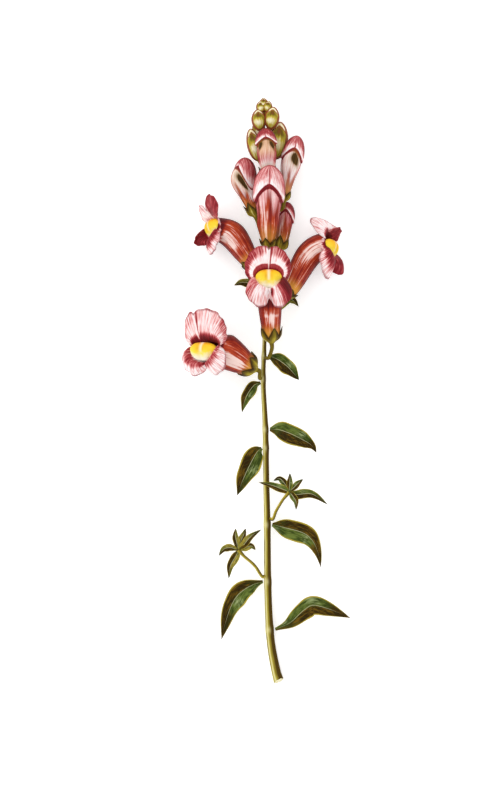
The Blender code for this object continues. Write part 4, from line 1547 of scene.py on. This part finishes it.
        made.lay(place)
        side, rise = start[:, 0], start[:, 1]
        made.fields.update(
            down=0.5 - 0.5 * rise + 0.1 * np.abs(side),
            # groove: where the painted highlight down the middle goes.
            groove=peak(side, 0.0, 0.07) * grow(rise, -0.3, 0.3),
            ridge=peak(np.abs(side), 0.16, 0.09) * peak(rise, 0.25, 0.4),
        )
        return made.piece(f"cushion_{self.name}", Slot.PALATE, f"flower_{self.name}_palate")

    def _room(self, tree: BVHTree, centre: Array, flat: Array) -> Array:
        """Returns how much of each way a palate can go until it is pressed into the petals.

        Args:
            tree: the faces of the petals.
            centre: where the ways start, in the flower's own frame.
            flat: the ways.

        Returns:
            The share of each way.
        """
        shares = np.ones(len(flat))
        starts = (self.bearing.outwards(centre) - OUTLINE_MIDDLE) * MM
        ways = flat @ self.bearing.axes.T
        for number, (start, way) in enumerate(zip(starts, ways)):
            length = float(np.linalg.norm(way))
            if length < NOTHING:
                continue
            hit = tree.ray_cast(Vector(start), Vector(way / length))
            if hit[0] is not None:
                shares[number] = min(1.0, (hit[3] / MM + self.press) / length)
        return shares

    def build(self) -> list[bpy.types.Object]:
        """Builds the flower, and returns its petals, palate and calyx."""
        petals, tree = self.petals()
        way = unit(np.array(self.mouth) - np.array(self.foot))
        calyx = Calyx(self.bearing, self.skin, float(np.linalg.norm(self.local_mouth)), self.joint,
                      self.side, way, self.sepal, self.notch, self.look.seed)
        return [petals, self.palate(tree),
                calyx.build(f"calyx_{self.name}", f"flower_{self.name}_calyx")]


@dataclass
class Calyx:
    """The stalk and the cup of five pointed sepals that hold a flower or a bud.

    Attributes:
        bearing, skin: where the flower stands, and its skin.
        length: the skin's length for one unit along it.
        joint, side: where the stalk leaves the stem, and on which side.
        foot_way: the way that the flower leaves its foot.
        tip, notch: length of a sepal, and of the cup between the sepals.
        seed: where its pattern starts.
        gap, thick: how far the cup is off the skin, and its thickness.
        rows: number of rings of the stalk, and of the cup's outer and inner side.
        pull: how far the stalk goes straight at its two ends, as shares of its span.
    """

    bearing: Bearing
    skin: Surface
    length: float
    joint: float
    side: Place
    foot_way: Array
    tip: float
    notch: float
    seed: float
    sepals: int = 5
    gap: float = 0.4
    thick: float = 0.75
    stalk_width: float = 1.8
    stalk_stop: float = 1.9
    sides: int = 90
    foot_share: float = 0.012
    rows: tuple[int, int, int] = (22, 26, 14)
    pull: tuple[float, float] = (0.22, 0.3)

    def _stalk(self) -> Curve:
        """Returns the stalk's line in the flower's own frame."""
        start = LINE.beside(self.joint, self.side)
        leave = unit(np.array(self.side))
        end = self.bearing.foot - self.foot_way * self.stalk_stop
        span = np.linalg.norm(end - start)
        near, far = self.pull
        places = (start, start + leave * span * near, end - self.foot_way * span * far, end)
        return Curve.through(tuple(self.bearing.inwards(place) for place in places))

    def _sector(self, turn: Array) -> Array:
        """Returns how far a turn is from the nearest sepal's middle, 1 at a notch."""
        half = math.pi / self.sepals
        return np.abs((turn + half) % (2.0 * half) - half) / half

    def build(self, name: str, node: str) -> bpy.types.Object:
        """Builds the calyx.

        Args:
            name: its name.
            node: the solid that it stands for.

        Returns:
            The calyx.
        """
        stalk = self._stalk()
        stalk_rows, outer_rows, inner_rows = self.rows
        total = sum(self.rows)
        inwards_way = unit(self.skin(np.array([0.0]), 0.3) + self.skin(np.array([math.pi]), 0.3))[0]
        outer = np.concatenate(([0.01], np.linspace(0.05, 1.0, outer_rows - 1)))
        inner = np.linspace(1.0, 0.12, inner_rows)

        def sepal(number: int, turn: Array) -> Array:
            """Returns the points of one ring of the cup, in the flower's own frame.

            Args:
                number: the ring's number in the cup.
                turn: the turns of its points.

            Returns:
                The points, one to a row.
            """
            off = self._sector(turn)
            if number < outer_rows:
                share = outer[number]
                rib = 0.16 * peak(off, 0.0, 0.2) * ease(share * 4.0) * (1.0 - share)
                seam = -0.3 * peak(off, 1.0, 0.16) * ease(share * 5.0)
                flare = 0.25 * share ** 3 * (1.0 - off)
                lift = self.gap + self.thick * (1.0 - 0.5 * share) + rib + seam + flare
            else:
                share = inner[number - outer_rows]
                lift = self.gap * 0.6 + 0.5 * share ** 3 * (1.0 - off)
            reach = (self.notch + (self.tip - self.notch) * (1.0 - off) ** 0.85) / self.length
            return lifted(self.skin, turn, np.maximum(reach * share, self.foot_share), lift)

        def place(row: int, turn: Array) -> Array:
            """Returns the points of one ring.

            Args:
                row: the ring's row.
                turn: the turns of its points.

            Returns:
                The points, one to a row.
            """
            if row == 0:
                return self.bearing.outwards(stalk.at(0.0))
            if row <= stalk_rows:
                share = (row - 1) / (stalk_rows - 1)
                half = self.stalk_width * 0.5 * (1.0 + 0.35 * share ** 2)
                return self.bearing.outwards(
                    hoop(stalk.at(share), right_and_above(stalk.way(share)), turn, half))
            if row > total:
                return self.bearing.outwards(-inwards_way * self.gap)
            return self.bearing.outwards(sepal(row - stalk_rows - 1, turn))

        made = Form.ball(self.sides, total).lay(place)
        number = made.row - stalk_rows - 1
        shares = np.concatenate((outer, inner, [0.1]))[np.clip(number, 0, outer_rows)]
        share = np.where(number < outer_rows, shares, 0.5)
        off = self._sector(made.turn)
        shade = (0.46 + 0.35 * off * share - 0.25 * peak(off, 0.0, 0.25) * (1.0 - share)
                 + 0.4 * share ** 2)
        made.fields.update(along=made.row / total, shade=np.where(number >= 0, shade, 0.6),
                           russet=np.where(number >= 0, 0.35 * share, 0.1), seed=self.seed)
        return made.piece(name, Slot.SEPAL, node)


@dataclass(frozen=True)
class BudSkin:
    """The skin of a closed bud: a tube under a hood of two folded lobes.

    A place along it is 0 at the foot, 1 at the hood's edge and 2 at the tip.

    Attributes:
        curve, width: its middle, in its own frame, and its full width.
        hood_turn: turn of the hood's point, in degrees.
        hood_side, hood_front: shares of the way where the hood's edge lies at its sides and at
            its point.
        foot, tube: width of its foot and of its tube, as shares of its full width.
        rise: share of the way over which it widens.
        depth: its depth as a share of its width.
        step, crease: how far the tube lies under the hood's edge, and how deep the hood's fold is.
        cheek: how far the tube bulges under the hood's point.
        pits: turn and place along of each small hollow under the hood, with its depth.
    """

    curve: Curve
    width: float
    hood_turn: float
    hood_side: float
    hood_front: float
    foot: float
    rise: float
    tube: float = 0.74
    depth: float = 0.85
    step: float = 0.12
    crease: float = 0.14
    cheek: float = 0.0
    pits: tuple[tuple[float, float, float], ...] = ()

    def off(self, turn: Array) -> Array:
        """Returns how far a turn is from the hood's point, 1 being a quarter turn."""
        return np.abs(self._past(turn)) / 90.0

    def _past(self, turn: Array, where: float = 0.0) -> Array:
        """Returns how many degrees a turn is past a place, counted from the hood's point."""
        return (np.degrees(turn) - self.hood_turn - where + 180.0) % 360.0 - 180.0

    def hollow(self, turn: Array, along: Array) -> Array:
        """Returns how deep the hollows under the hood are at a place.

        Args:
            turn: the turns.
            along: the places along.

        Returns:
            The depth, as a share of the bud's half width.
        """
        found = np.zeros(len(turn))
        for where, height, depth in self.pits:
            near = peak(self._past(turn, where), 0.0, 27.0) * peak(along, height, 0.09)
            found = np.maximum(found, depth * near)
        return found

    def __call__(self, turn: Array, along: Array | float) -> Array:
        """Returns points of the skin.

        Args:
            turn: the turns.
            along: the places along.

        Returns:
            The points, one to a row.
        """
        turn = np.asarray(turn, float)
        along = spread(along, len(turn))
        off = self.off(turn)
        edge = self.hood_side + (self.hood_front - self.hood_side) * (1.0 - ease(off))
        hooded = along > 1.0
        share = np.where(hooded, edge + (1.0 - edge) * (along - 1.0), edge * np.maximum(along, 0.0))
        share = np.minimum(share, 1.0)
        half = self.foot + (self.tube - self.foot) * ease(share / self.rise)
        half = half + (1.0 - self.tube) * grow(share, 0.4, 0.34)
        half = half * rounded(share, 0.07)
        crown = np.maximum(0.0, (share - 0.7) / 0.3)
        half = half * np.maximum(1.0 - crown ** 2.3, 0.0) ** 0.55
        lips = 1.0 - self.step * ease(along / 0.9) - self.hollow(turn, along)
        lips = lips + self.cheek * peak(off, 0.0, 0.9) * peak(along, 0.82, 0.22)
        folds = 1.0 - self.crease * peak(off, 0.0, 0.12)
        half = half * np.where(hooded, folds, lips) * self.width * 0.5
        half = half * (1.0 + 0.02 * np.sin(turn * 9.0) * ~hooded)
        return hoop(self.curve.at(share), right_and_above(self.curve.way(share)), turn, half,
                    half * self.depth)


@dataclass(frozen=True)
class BudLook:
    """How one closed bud is stained.

    Attributes:
        gleam, seed: the way that its painted highlight faces, and where its pattern starts.
        stain, throat: how crimson its hood is, and the place under the hood's edge.
        cream, olive: how pale yellow its face is, and how green and brown its tube, the olive
            strongest on sides in painted shade.
        orange, reach: how orange red its tube is, and where that begins to fade.
    """

    painted_highlight: Place
    seed: float
    stain: float = 0.5
    throat: float = 0.1
    cream: float = 0.0
    olive: float = 0.0
    orange: float = 1.0
    reach: float = 0.66


@dataclass
class Bud(Blossom):
    """One closed coloured bud and the calyx that holds it.

    Attributes:
        middle, tip, width: its middle, its tip and its width.
        hood_turn, cheek, pits: as its skin has them.
        hood: its skin's hood_side, hood_front, foot, rise and tube.
        look: how it is stained.
        sepal, notch: length of its sepals, and of the cup between them.
        tube_rings, hood_rings: places along where its rings lie.
    """

    middle: Place
    tip: Place
    width: float
    hood_turn: float
    hood: tuple[float, float, float, float, float]
    look: BudLook
    cheek: float = 0.0
    pits: tuple[tuple[float, float, float], ...] = ()
    sides: int = 96
    sepal: float = 5.2
    notch: float = 1.8
    tube_rings: tuple[float, ...] = (0.004, 0.015, 0.03, *np.linspace(0.06, 1.0, 40))
    hood_rings: tuple[float, ...] = (1.0005, 1.02, *np.linspace(1.05, 1.97, 34), 1.985, 1.995)

    def build(self) -> list[bpy.types.Object]:
        """Builds the bud, and returns its petals and its calyx."""
        foot, tip = np.array(self.foot), np.array(self.tip)
        bearing = Bearing.facing(self.foot, tip - foot, UP)
        curve = Curve.through(tuple(bearing.inwards((self.foot, self.middle, self.tip))))
        skin = BudSkin(curve, self.width, self.hood_turn, *self.hood, cheek=self.cheek,
                       pits=self.pits)
        alongs = np.concatenate(([0.0], self.tube_rings, self.hood_rings, [2.0]))
        made = Form.ball(self.sides, len(alongs) - 2)
        made.lay(lambda row, turn: bearing.outwards(skin(turn, alongs[row])))
        made.fields.update(self._stains(skin, made, made.along(alongs)))
        petals = made.piece(f"closed_petals_{self.name}", Slot.PETAL, f"bud_{self.name}_petals")
        way = unit(np.array(self.middle) - foot)
        length = float(np.linalg.norm(tip - foot)) * skin.hood_side
        calyx = Calyx(bearing, skin, length, self.joint, self.side, way, self.sepal,
                      self.notch, self.look.seed)
        return [petals, calyx.build(f"bud_cup_{self.name}", f"bud_{self.name}_calyx")]

    def _stains(self, skin: BudSkin, made: Form, along: Array) -> dict[str, Array]:
        """Returns the fields that the petals' finish reads.

        Args:
            skin: the bud's skin.
            made: the bud's form.
            along: the places along.

        Returns:
            The fields by name.
        """
        turn = made.turn
        off = skin.off(turn)
        hooded = along > 1.0
        # Painted shade: sides turned from the light above get a deeper hood, throat and tube, less
        # amber and cream, and more olive.
        shaded = made.shaded() ** 2
        look = self.look
        # A painted highlight: a pale streak where the bud faces one way.
        painted_highlight = grow(made.facing(look.painted_highlight), 0.88, 0.12)
        hood = look.stain * (0.5 + 0.5 * grow(along, 1.2, 0.3)) + 0.6 * shaded
        hood = hood * (1.0 - 0.95 * peak(along, 1.09 + 0.03 * np.cos(off * 7.0), 0.055))
        hood = np.maximum(hood - 0.2 * painted_highlight, 0.7 * peak(off, 0.0, 0.045))
        # A painted shadow: a dark band on the tube just under the hood's edge.
        under_hood_shadow = grow(along, 0.93, 0.03) * ~hooded
        throat = look.throat * grow(along, 0.3, 0.3) + 0.9 * under_hood_shadow + 0.8 * shaded
        reach = look.reach + 0.12 * np.cos(off * 11.0)
        face = fade(off, 0.4, 0.4) * ~hooded * grow(along, 0.5, 0.3)
        # The hollows under the hood: olive, with a painted shadow in umber at their bottom.
        hollow = skin.hollow(turn, np.where(hooded, 0.0, along))
        return {
            "along": along * 0.5,
            "seed": look.seed,
            "stain": np.where(hooded, hood, throat),
            "streaky": 0.7,
            "tube": look.orange * fade(along, reach, 0.24) * ~hooded,
            # The tube's stripes, with painted shade on its sides and the painted highlight taken off.
            "tube_tone_and_painted_light": 0.37 + 0.1 * np.cos(turn * 6.0 + look.seed) + 0.6 * shaded - 0.2 * painted_highlight,
            "amber": 0.55 * fade(along, 0.04, 0.5) * (1.0 - shaded),
            "cream": look.cream * face * (1.0 - under_hood_shadow) * (1.0 - shaded),
            "olive": look.olive * fade(along, 0.5, 0.4) * ~hooded * ease(shaded * 2.0 + 0.2),
            "rim": 0.9 * grow(along, 0.955, 0.025) * ~hooded,
            "pit": np.clip(hollow * 5.5, 0.0, 1.0),
        }


@dataclass
class GreenTip:
    """The end of the stem with its unopened green buds.

    Attributes:
        start: where it takes over from the stem.
        end: where the stem ends.
        thin, deep: least half width of a bud's stalk, and depth of its dimple.
        sides, rings: number of a bud's sides, and shares of its way where its rings lie.
        buds: each bud's joint, foot, tip and width.
    """

    start: float = 124.35
    end: float = 152.0
    thin: float = 0.75
    deep: float = 0.3
    sides: int = 44
    rings: tuple[float, ...] = (0.0, *np.linspace(0.0, 0.5, 8), *np.linspace(0.52, 0.96, 24),
                                0.975, 0.985, 0.993, 1.0)
    buds: tuple[tuple, ...] = (
        (118.0, (-4.8, 124.4, 14.0), (-9.3, 141.2, 14.6), 7.6),
        (119.5, (3.6, 125.4, 12.8), (6.5, 145.0, 13.0), 10.4),
        (134.0, (-4.0, 139.8, 15.8), (-5.4, 151.2, 17.2), 7.8),
        (135.0, (0.8, 140.4, 16.4), (2.9, 152.4, 18.2), 8.0),
        (146.0, (-3.4, 149.0, 16.0), (-4.0, 155.4, 16.6), 5.0),
        (146.0, (-1.0, 149.4, 16.6), (0.5, 155.4, 17.4), 4.9),
        (149.0, (-2.2, 151.6, 15.8), (-2.3, 157.0, 16.2), 4.6),
        (130.0, (-3.6, 134.6, 13.4), (-6.6, 145.0, 11.2), 6.0),
        (131.0, (0.4, 135.6, 13.2), (3.4, 146.0, 11.0), 6.0),
        (127.0, (-2.0, 127.6, 11.6), (-2.6, 139.0, 7.8), 6.4),
        (140.0, (-2.2, 145.6, 13.2), (-2.4, 153.0, 12.0), 4.6),
    )

    @staticmethod
    def _bow(turn: Array, bulb: Array | float) -> Array:
        """Returns how far a place on a green bud is along the curved lines that cross it."""
        return bulb + 0.22 * np.cos(turn) ** 2

    def _dimple(self, turn: Array, bulb: Array | float) -> Array:
        """Returns how deep a green bud's dimple is at a turn and a share of its bulb."""
        return (peak(np.cos(turn), 0.0, 0.6) * ease(np.sin(turn) * 3.0)
                * peak(self._bow(turn, bulb), 0.76, 0.1))

    def _bud(self, number: int) -> bpy.types.Object:
        """Builds one green bud, by its number in the plan, and returns it.

        Args:
            number: its number.

        Returns:
            The bud.
        """
        joint, foot, tip, width = self.buds[number]
        root = tuple(LINE.at(max(joint, self.start + 1.2))[0])

        def half(share: float, turn: Array) -> Array:
            """Returns the bud's half width: thin as its stalk, then full as its bulb."""
            bulb = max((share - 0.5) / 0.5, 0.0)
            full = width * 0.5 * max(math.sin(math.pi * bulb ** 1.1), 0.0) ** 0.55
            return max(self.thin, full) * (1.0 - self.deep * self._dimple(turn, bulb))

        made = Form.rod(Curve((root, foot, tip)), self.rings, self.sides, half)
        along, turn = made.along(self.rings), made.turn
        bulb = np.clip((along - 0.5) / 0.5, 0.0, 1.0)
        dimple, bow = self._dimple(turn, bulb), self._bow(turn, bulb)
        # Painted highlights on each bulb, painted shade in the dimple, and russet as painted shade on
        # sides turned from the light, beside the russet line of the hood.
        light = peak(bulb, 0.46, 0.14) * peak(np.cos(turn), 0.1, 0.5) + peak(bow, 0.93, 0.06)
        rim = peak(bow, 0.87, 0.035) * ease(np.sin(turn) * 2.0)
        made.fields.update(
            along=along, seed=number * 1.7,
            shade=0.36 - 0.34 * light * ease(np.sin(turn) * 1.5) + 0.42 * dimple,
            russet=most(grow(made.shaded(), 0.14, 0.36), 0.8 * rim, 0.56 * dimple))
        return made.write("green_bud", Slot.SEPAL)

    def build(self) -> bpy.types.Object:
        """Builds the tip and returns it."""
        ways = np.linspace(self.start, self.end, 5)
        stalk = Stalk(Curve.through(tuple(LINE.at(ways)[0])), float(LINE.at(self.start)[1]), 0.7)
        parts = [stalk.form().write("tip_stalk", Slot.SEPAL)]
        parts += [self._bud(number) for number in range(len(self.buds))]
        return join(parts, "unopened_buds", Slot.SEPAL, "green_tip")


class Plan:
    """The sizes and places of the flowers and the coloured buds."""

    @staticmethod
    def flowers() -> list[Flower]:
        """Returns the four open flowers."""
        return [
            Flower(
                "front", joint=22.0, side=(0.7, 0.0, 0.8), foot=(1.8, 31.2, 19.6),
                mouth=(0.3, 62.8, 31.0), forward=(0.0, -0.05, 1.0), upward=(0.0, 1.0, 0.0),
                size=1.0, swell=2.7, roof=0.62, jut=0.0, cushion=(6.9, 4.5, 5.4, 0.2, 2.0),
                splits=(90.0, 274.0), sepal=6.8, lobes=((-6.0, 90.0, 8.6, 15.2, 4.0, -1.6),
                (90.0, 186.0, 15.2, 9.8, 4.4, -1.6), (186.0, 266.0, 9.8, 11.6, 5.4, 4.6),
                (266.0, 282.0, 11.6, 12.4, -0.8, -1.0), (282.0, 354.0, 12.4, 8.6, 6.2, 4.6)),
                look=FlowerLook(painted_highlight=(0.1, 0.0, 1.0), arch=0.45, base=0.0, outer=0.62, ring=0.0,
                left=0.38, right=0.86, bright=0.34, dim=0.44, seed=1.3)),
            Flower(
                "lower_left", joint=11.4, side=(-0.7, 0.0, 0.7), foot=(-7.2, 16.4, 15.0),
                mouth=(-30.8, 28.8, 22.6), forward=(-0.54, -0.1, 0.84), upward=(0.05, 1.0, 0.0),
                size=1.08, swell=5.0, roof=0.2, jut=0.0, cushion=(7.4, 3.4, 5.4, -2.0, 4.4),
                splits=(122.0, 276.0), sepal=5.8, lobes=((-6.0, 122.0, 8.4, 17.4, 2.2, -1.6),
                (122.0, 186.0, 17.4, 9.4, 5.2, -1.6), (186.0, 270.0, 9.0, 9.2, 7.8, 4.6),
                (270.0, 282.0, 9.2, 9.0, -0.6, -1.0), (282.0, 354.0, 9.0, 8.4, 8.6, 4.6)),
                look=FlowerLook(painted_highlight=(0.1, -0.5, 0.85), base=0.9, outer=0.36, ring=0.58, left=0.25,
                right=0.2, bright=0.46, flush=0.24, seed=4.7)),
            Flower(
                "upper_left", joint=64.0, side=(-1.0, 0.0, 0.1), foot=(-6.6, 69.5, 13.8),
                mouth=(-26.6, 90.4, 9.6), forward=(-0.8, -0.42, 0.42), upward=(-0.45, 0.89, 0.0),
                size=0.98, swell=3.6, roof=0.6, jut=2.0, cushion=(7.2, 4.6, 6.0, 0.4, 2.0),
                splits=(96.0, 254.0), sepal=5.0, lobes=((-25.0, 26.0, 7.9, 8.4, 0.0, 0.5),
                (26.0, 96.0, 8.4, 10.0, 9.0, -2.5), (96.0, 154.0, 10.0, 8.2, 7.0, 0.5),
                (154.0, 160.0, 8.2, 8.0, 0.0, 0.5), (160.0, 232.0, 8.0, 8.2, 0.6, 13.0),
                (232.0, 256.0, 8.2, 8.6, 0.0, 7.0), (256.0, 335.0, 8.6, 7.9, 4.0, 10.0, 0.8)),
                look=FlowerLook(painted_highlight=(-0.25, -0.42, 0.87), base=0.4, outer=0.25, ring=0.8,
                ring_end=0.62, back=0.2, right=0.3, left=0.8, rim=0.7, bright=0.46, begin=0.26,
                seed=8.1, dusk=((26.0, 94.0, 0.7), (160.0, 238.0, 0.66)))),
            Flower(
                "right", joint=50.0, side=(1.0, 0.0, 0.5), foot=(9.2, 54.8, 14.4),
                mouth=(30.0, 81.0, 9.6), forward=(0.85, -0.45, 0.36), upward=(0.45, 0.88, 0.0),
                size=1.02, swell=2.8, roof=0.9, jut=2.0, cushion=(7.2, 4.6, 6.0, -0.6, 2.8),
                splits=(88.0, 270.0), sepal=3.2, lobes=((-30.0, 20.0, 8.0, 8.0, 0.0, 0.5),
                (20.0, 86.0, 8.0, 10.8, 2.4, 2.0), (86.0, 158.0, 10.8, 7.4, 0.8, -12.0),
                (158.0, 206.0, 7.4, 7.6, 0.0, -1.0), (206.0, 272.0, 7.6, 9.4, 8.0, 9.0, -1.1),
                (272.0, 280.0, 9.4, 9.0, 0.0, 6.0), (280.0, 334.0, 9.0, 8.0, 3.4, 13.0)),
                look=FlowerLook(painted_highlight=(-0.1, 0.05, 1.0), base=0.95, outer=0.2, ring=0.8,
                ring_end=0.62, back=0.12, right=0.9, left=0.25, rim=0.7, bright=0.34, begin=0.44,
                dim=1.2, seed=11.9, dusk=((22.0, 86.0, 0.75), (276.0, 334.0, 0.7)))),
        ]

    @staticmethod
    def buds() -> list[Bud]:
        """Returns the five coloured buds."""
        return [
            Bud(
                "front", joint=72.0, side=(0.2, 0.0, 1.0), foot=(0.0, 79.8, 19.0),
                middle=(0.2, 98.0, 24.0), tip=(1.0, 121.4, 29.5), width=17.0, hood_turn=90.0,
                hood=(0.6, 0.82, 0.36, 0.36, 0.74),
                look=BudLook(painted_highlight=(-0.5, -0.3, 0.8), seed=2.2, stain=0.36, throat=0.28)),
            Bud(
                "left", joint=89.0, side=(-1.0, 0.0, 0.2), foot=(-6.8, 96.7, 14.6),
                middle=(-11.4, 109.4, 14.2), tip=(-12.1, 126.2, 15.4), width=12.4, hood_turn=42.0,
                hood=(0.5, 0.88, 0.42, 0.66, 0.8), look=BudLook(painted_highlight=(-0.6, 0.0, 0.8), seed=5.6,
                stain=0.5, throat=0.1, cream=0.3, olive=0.3, reach=0.5), cheek=0.42,
                pits=((36.0, 0.84, 0.34),)),
            Bud(
                "right", joint=97.0, side=(1.0, 0.0, 0.3), foot=(8.3, 104.4, 16.6),
                middle=(10.9, 118.6, 16.4), tip=(15.4, 137.4, 17.4), width=11.8, hood_turn=92.0,
                hood=(0.66, 0.84, 0.4, 0.66, 0.84), look=BudLook(painted_highlight=(-0.4, 0.0, 0.9), seed=7.4,
                stain=0.5, throat=0.1, cream=0.16, olive=0.3, orange=0.9, reach=0.42), cheek=0.16,
                pits=((18.0, 0.85, 0.36),)),
            Bud(
                "small_right", joint=73.0, side=(1.0, 0.0, -0.5), foot=(6.4, 79.4, 11.6),
                middle=(8.6, 90.0, 10.6), tip=(9.9, 103.4, 10.4), width=9.8, hood_turn=84.0,
                hood=(0.6, 0.86, 0.62, 0.5, 0.82), look=BudLook(painted_highlight=(-0.4, -0.2, 0.9), seed=9.3,
                stain=0.7, throat=0.45, olive=0.7)),
            Bud(
                "top", joint=110.0, side=(0.1, 0.0, 1.0), foot=(0.0, 117.6, 19.6),
                middle=(-0.6, 127.0, 22.0), tip=(-1.6, 140.8, 24.6), width=11.6, hood_turn=90.0,
                hood=(0.7, 0.86, 0.58, 0.56, 0.94), look=BudLook(painted_highlight=(-0.3, -0.1, 0.9), seed=3.9,
                stain=0.62, throat=0.4, cream=0.42, orange=0.3, reach=0.1), cheek=0.06,
                pits=((-46.0, 0.9, 0.26), (46.0, 0.9, 0.26))),
        ]


@dataclass(frozen=True)
class Studio:
    """The plain pale floor, the soft light and the camera that looks straight down.

    Attributes:
        frame_height, middle: height of the camera's view and the place in the plan that it looks
            at, in metres.
        lens, sensor: the lens and the width behind it, in millimetres.
        level: height that the view's size holds at, in metres.
        sky, sun: strength of the light from all sides, and of the soft light from the upper left.
        softness, tilt: how wide that light is, and how it is turned, in degrees.
        floor_glow: light of the floor's own, as on a light table.
    """

    frame_height: float = 0.416
    lens: float = 180.0
    sensor: float = 36.0
    middle: tuple[float, float] = (-0.00816, -0.00394)
    level: float = 0.016
    sky: float = 0.95
    sun: float = 0.8
    softness: float = 70.0
    floor_glow: float = 0.36
    tilt: tuple[float, float] = (-28.0, -34.0)
    floor_size: float = 6.0
    floor_level: float = -0.0002
    near_and_far: tuple[float, float] = (0.05, 40.0)
    white: Colour = (1.0, 1.0, 1.0, 1.0)

    def build(self) -> None:
        """Builds the studio."""
        self._floor()
        self._light()
        self._camera()

    @staticmethod
    def _add(name: str, data: bpy.types.ID) -> bpy.types.Object:
        """Adds an object to the scene and returns it."""
        made = bpy.data.objects.new(name, data)
        bpy.context.scene.collection.objects.link(made)
        return made

    def _floor(self) -> None:
        """Builds the floor."""
        work = bmesh.new()
        bmesh.ops.create_grid(work, x_segments=8, y_segments=8, size=self.floor_size)
        mesh = bpy.data.meshes.new("floor")
        work.to_mesh(mesh)
        work.free()
        graph = Graph("floor_paper")
        tooth = graph.grain(900.0, 3.0)
        tone = graph.mix((0.95, 0.95, 0.945, 1.0), (0.98, 0.98, 0.975, 1.0), tooth)
        mesh.materials.append(graph.done(tone, 0.9, Specular_IOR_Level=0.1,
                                         Emission_Color=self.white,
                                         Emission_Strength=self.floor_glow))
        floor = self._add("floor", mesh)
        floor.location.z = self.floor_level

    def _light(self) -> None:
        """Lights the scene from all sides, and softly from the upper left."""
        world = bpy.data.worlds.new("studio")
        world.use_nodes = True
        shade = world.node_tree.nodes["Background"].inputs
        shade["Color"].default_value = self.white
        shade["Strength"].default_value = self.sky
        bpy.context.scene.world = world
        light = bpy.data.lights.new("key", "SUN")
        light.energy = self.sun
        light.angle = math.radians(self.softness)
        self._add("key", light).rotation_euler = (*map(math.radians, self.tilt), 0.0)

    def _camera(self) -> None:
        """Sets the camera straight above the plant."""
        lens = bpy.data.cameras.new("camera")
        lens.lens = self.lens
        lens.sensor_width = self.sensor
        lens.clip_start, lens.clip_end = self.near_and_far
        camera = self._add("camera", lens)
        away = self.frame_height * 0.5 / (self.sensor * 0.5 / self.lens)
        camera.location = (*self.middle, self.level + away)
        bpy.context.scene.camera = camera
        bpy.context.scene.view_settings.view_transform = "Standard"


def main() -> None:
    """Builds every piece in order and reports each of them."""
    logging.basicConfig(level=logging.INFO, format="%(name)s: %(message)s")
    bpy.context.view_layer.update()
    Studio().build()
    made = [MainStem().build(), *Leaves().build(), *Shoots().build()]
    for blossom in Plan.flowers() + Plan.buds():
        made += blossom.build()
    made.append(GreenTip().build())
    for piece in made:
        LOG.info("%s: %d faces", piece.name, len(piece.data.polygons))


if __name__ == "__main__":
    main()
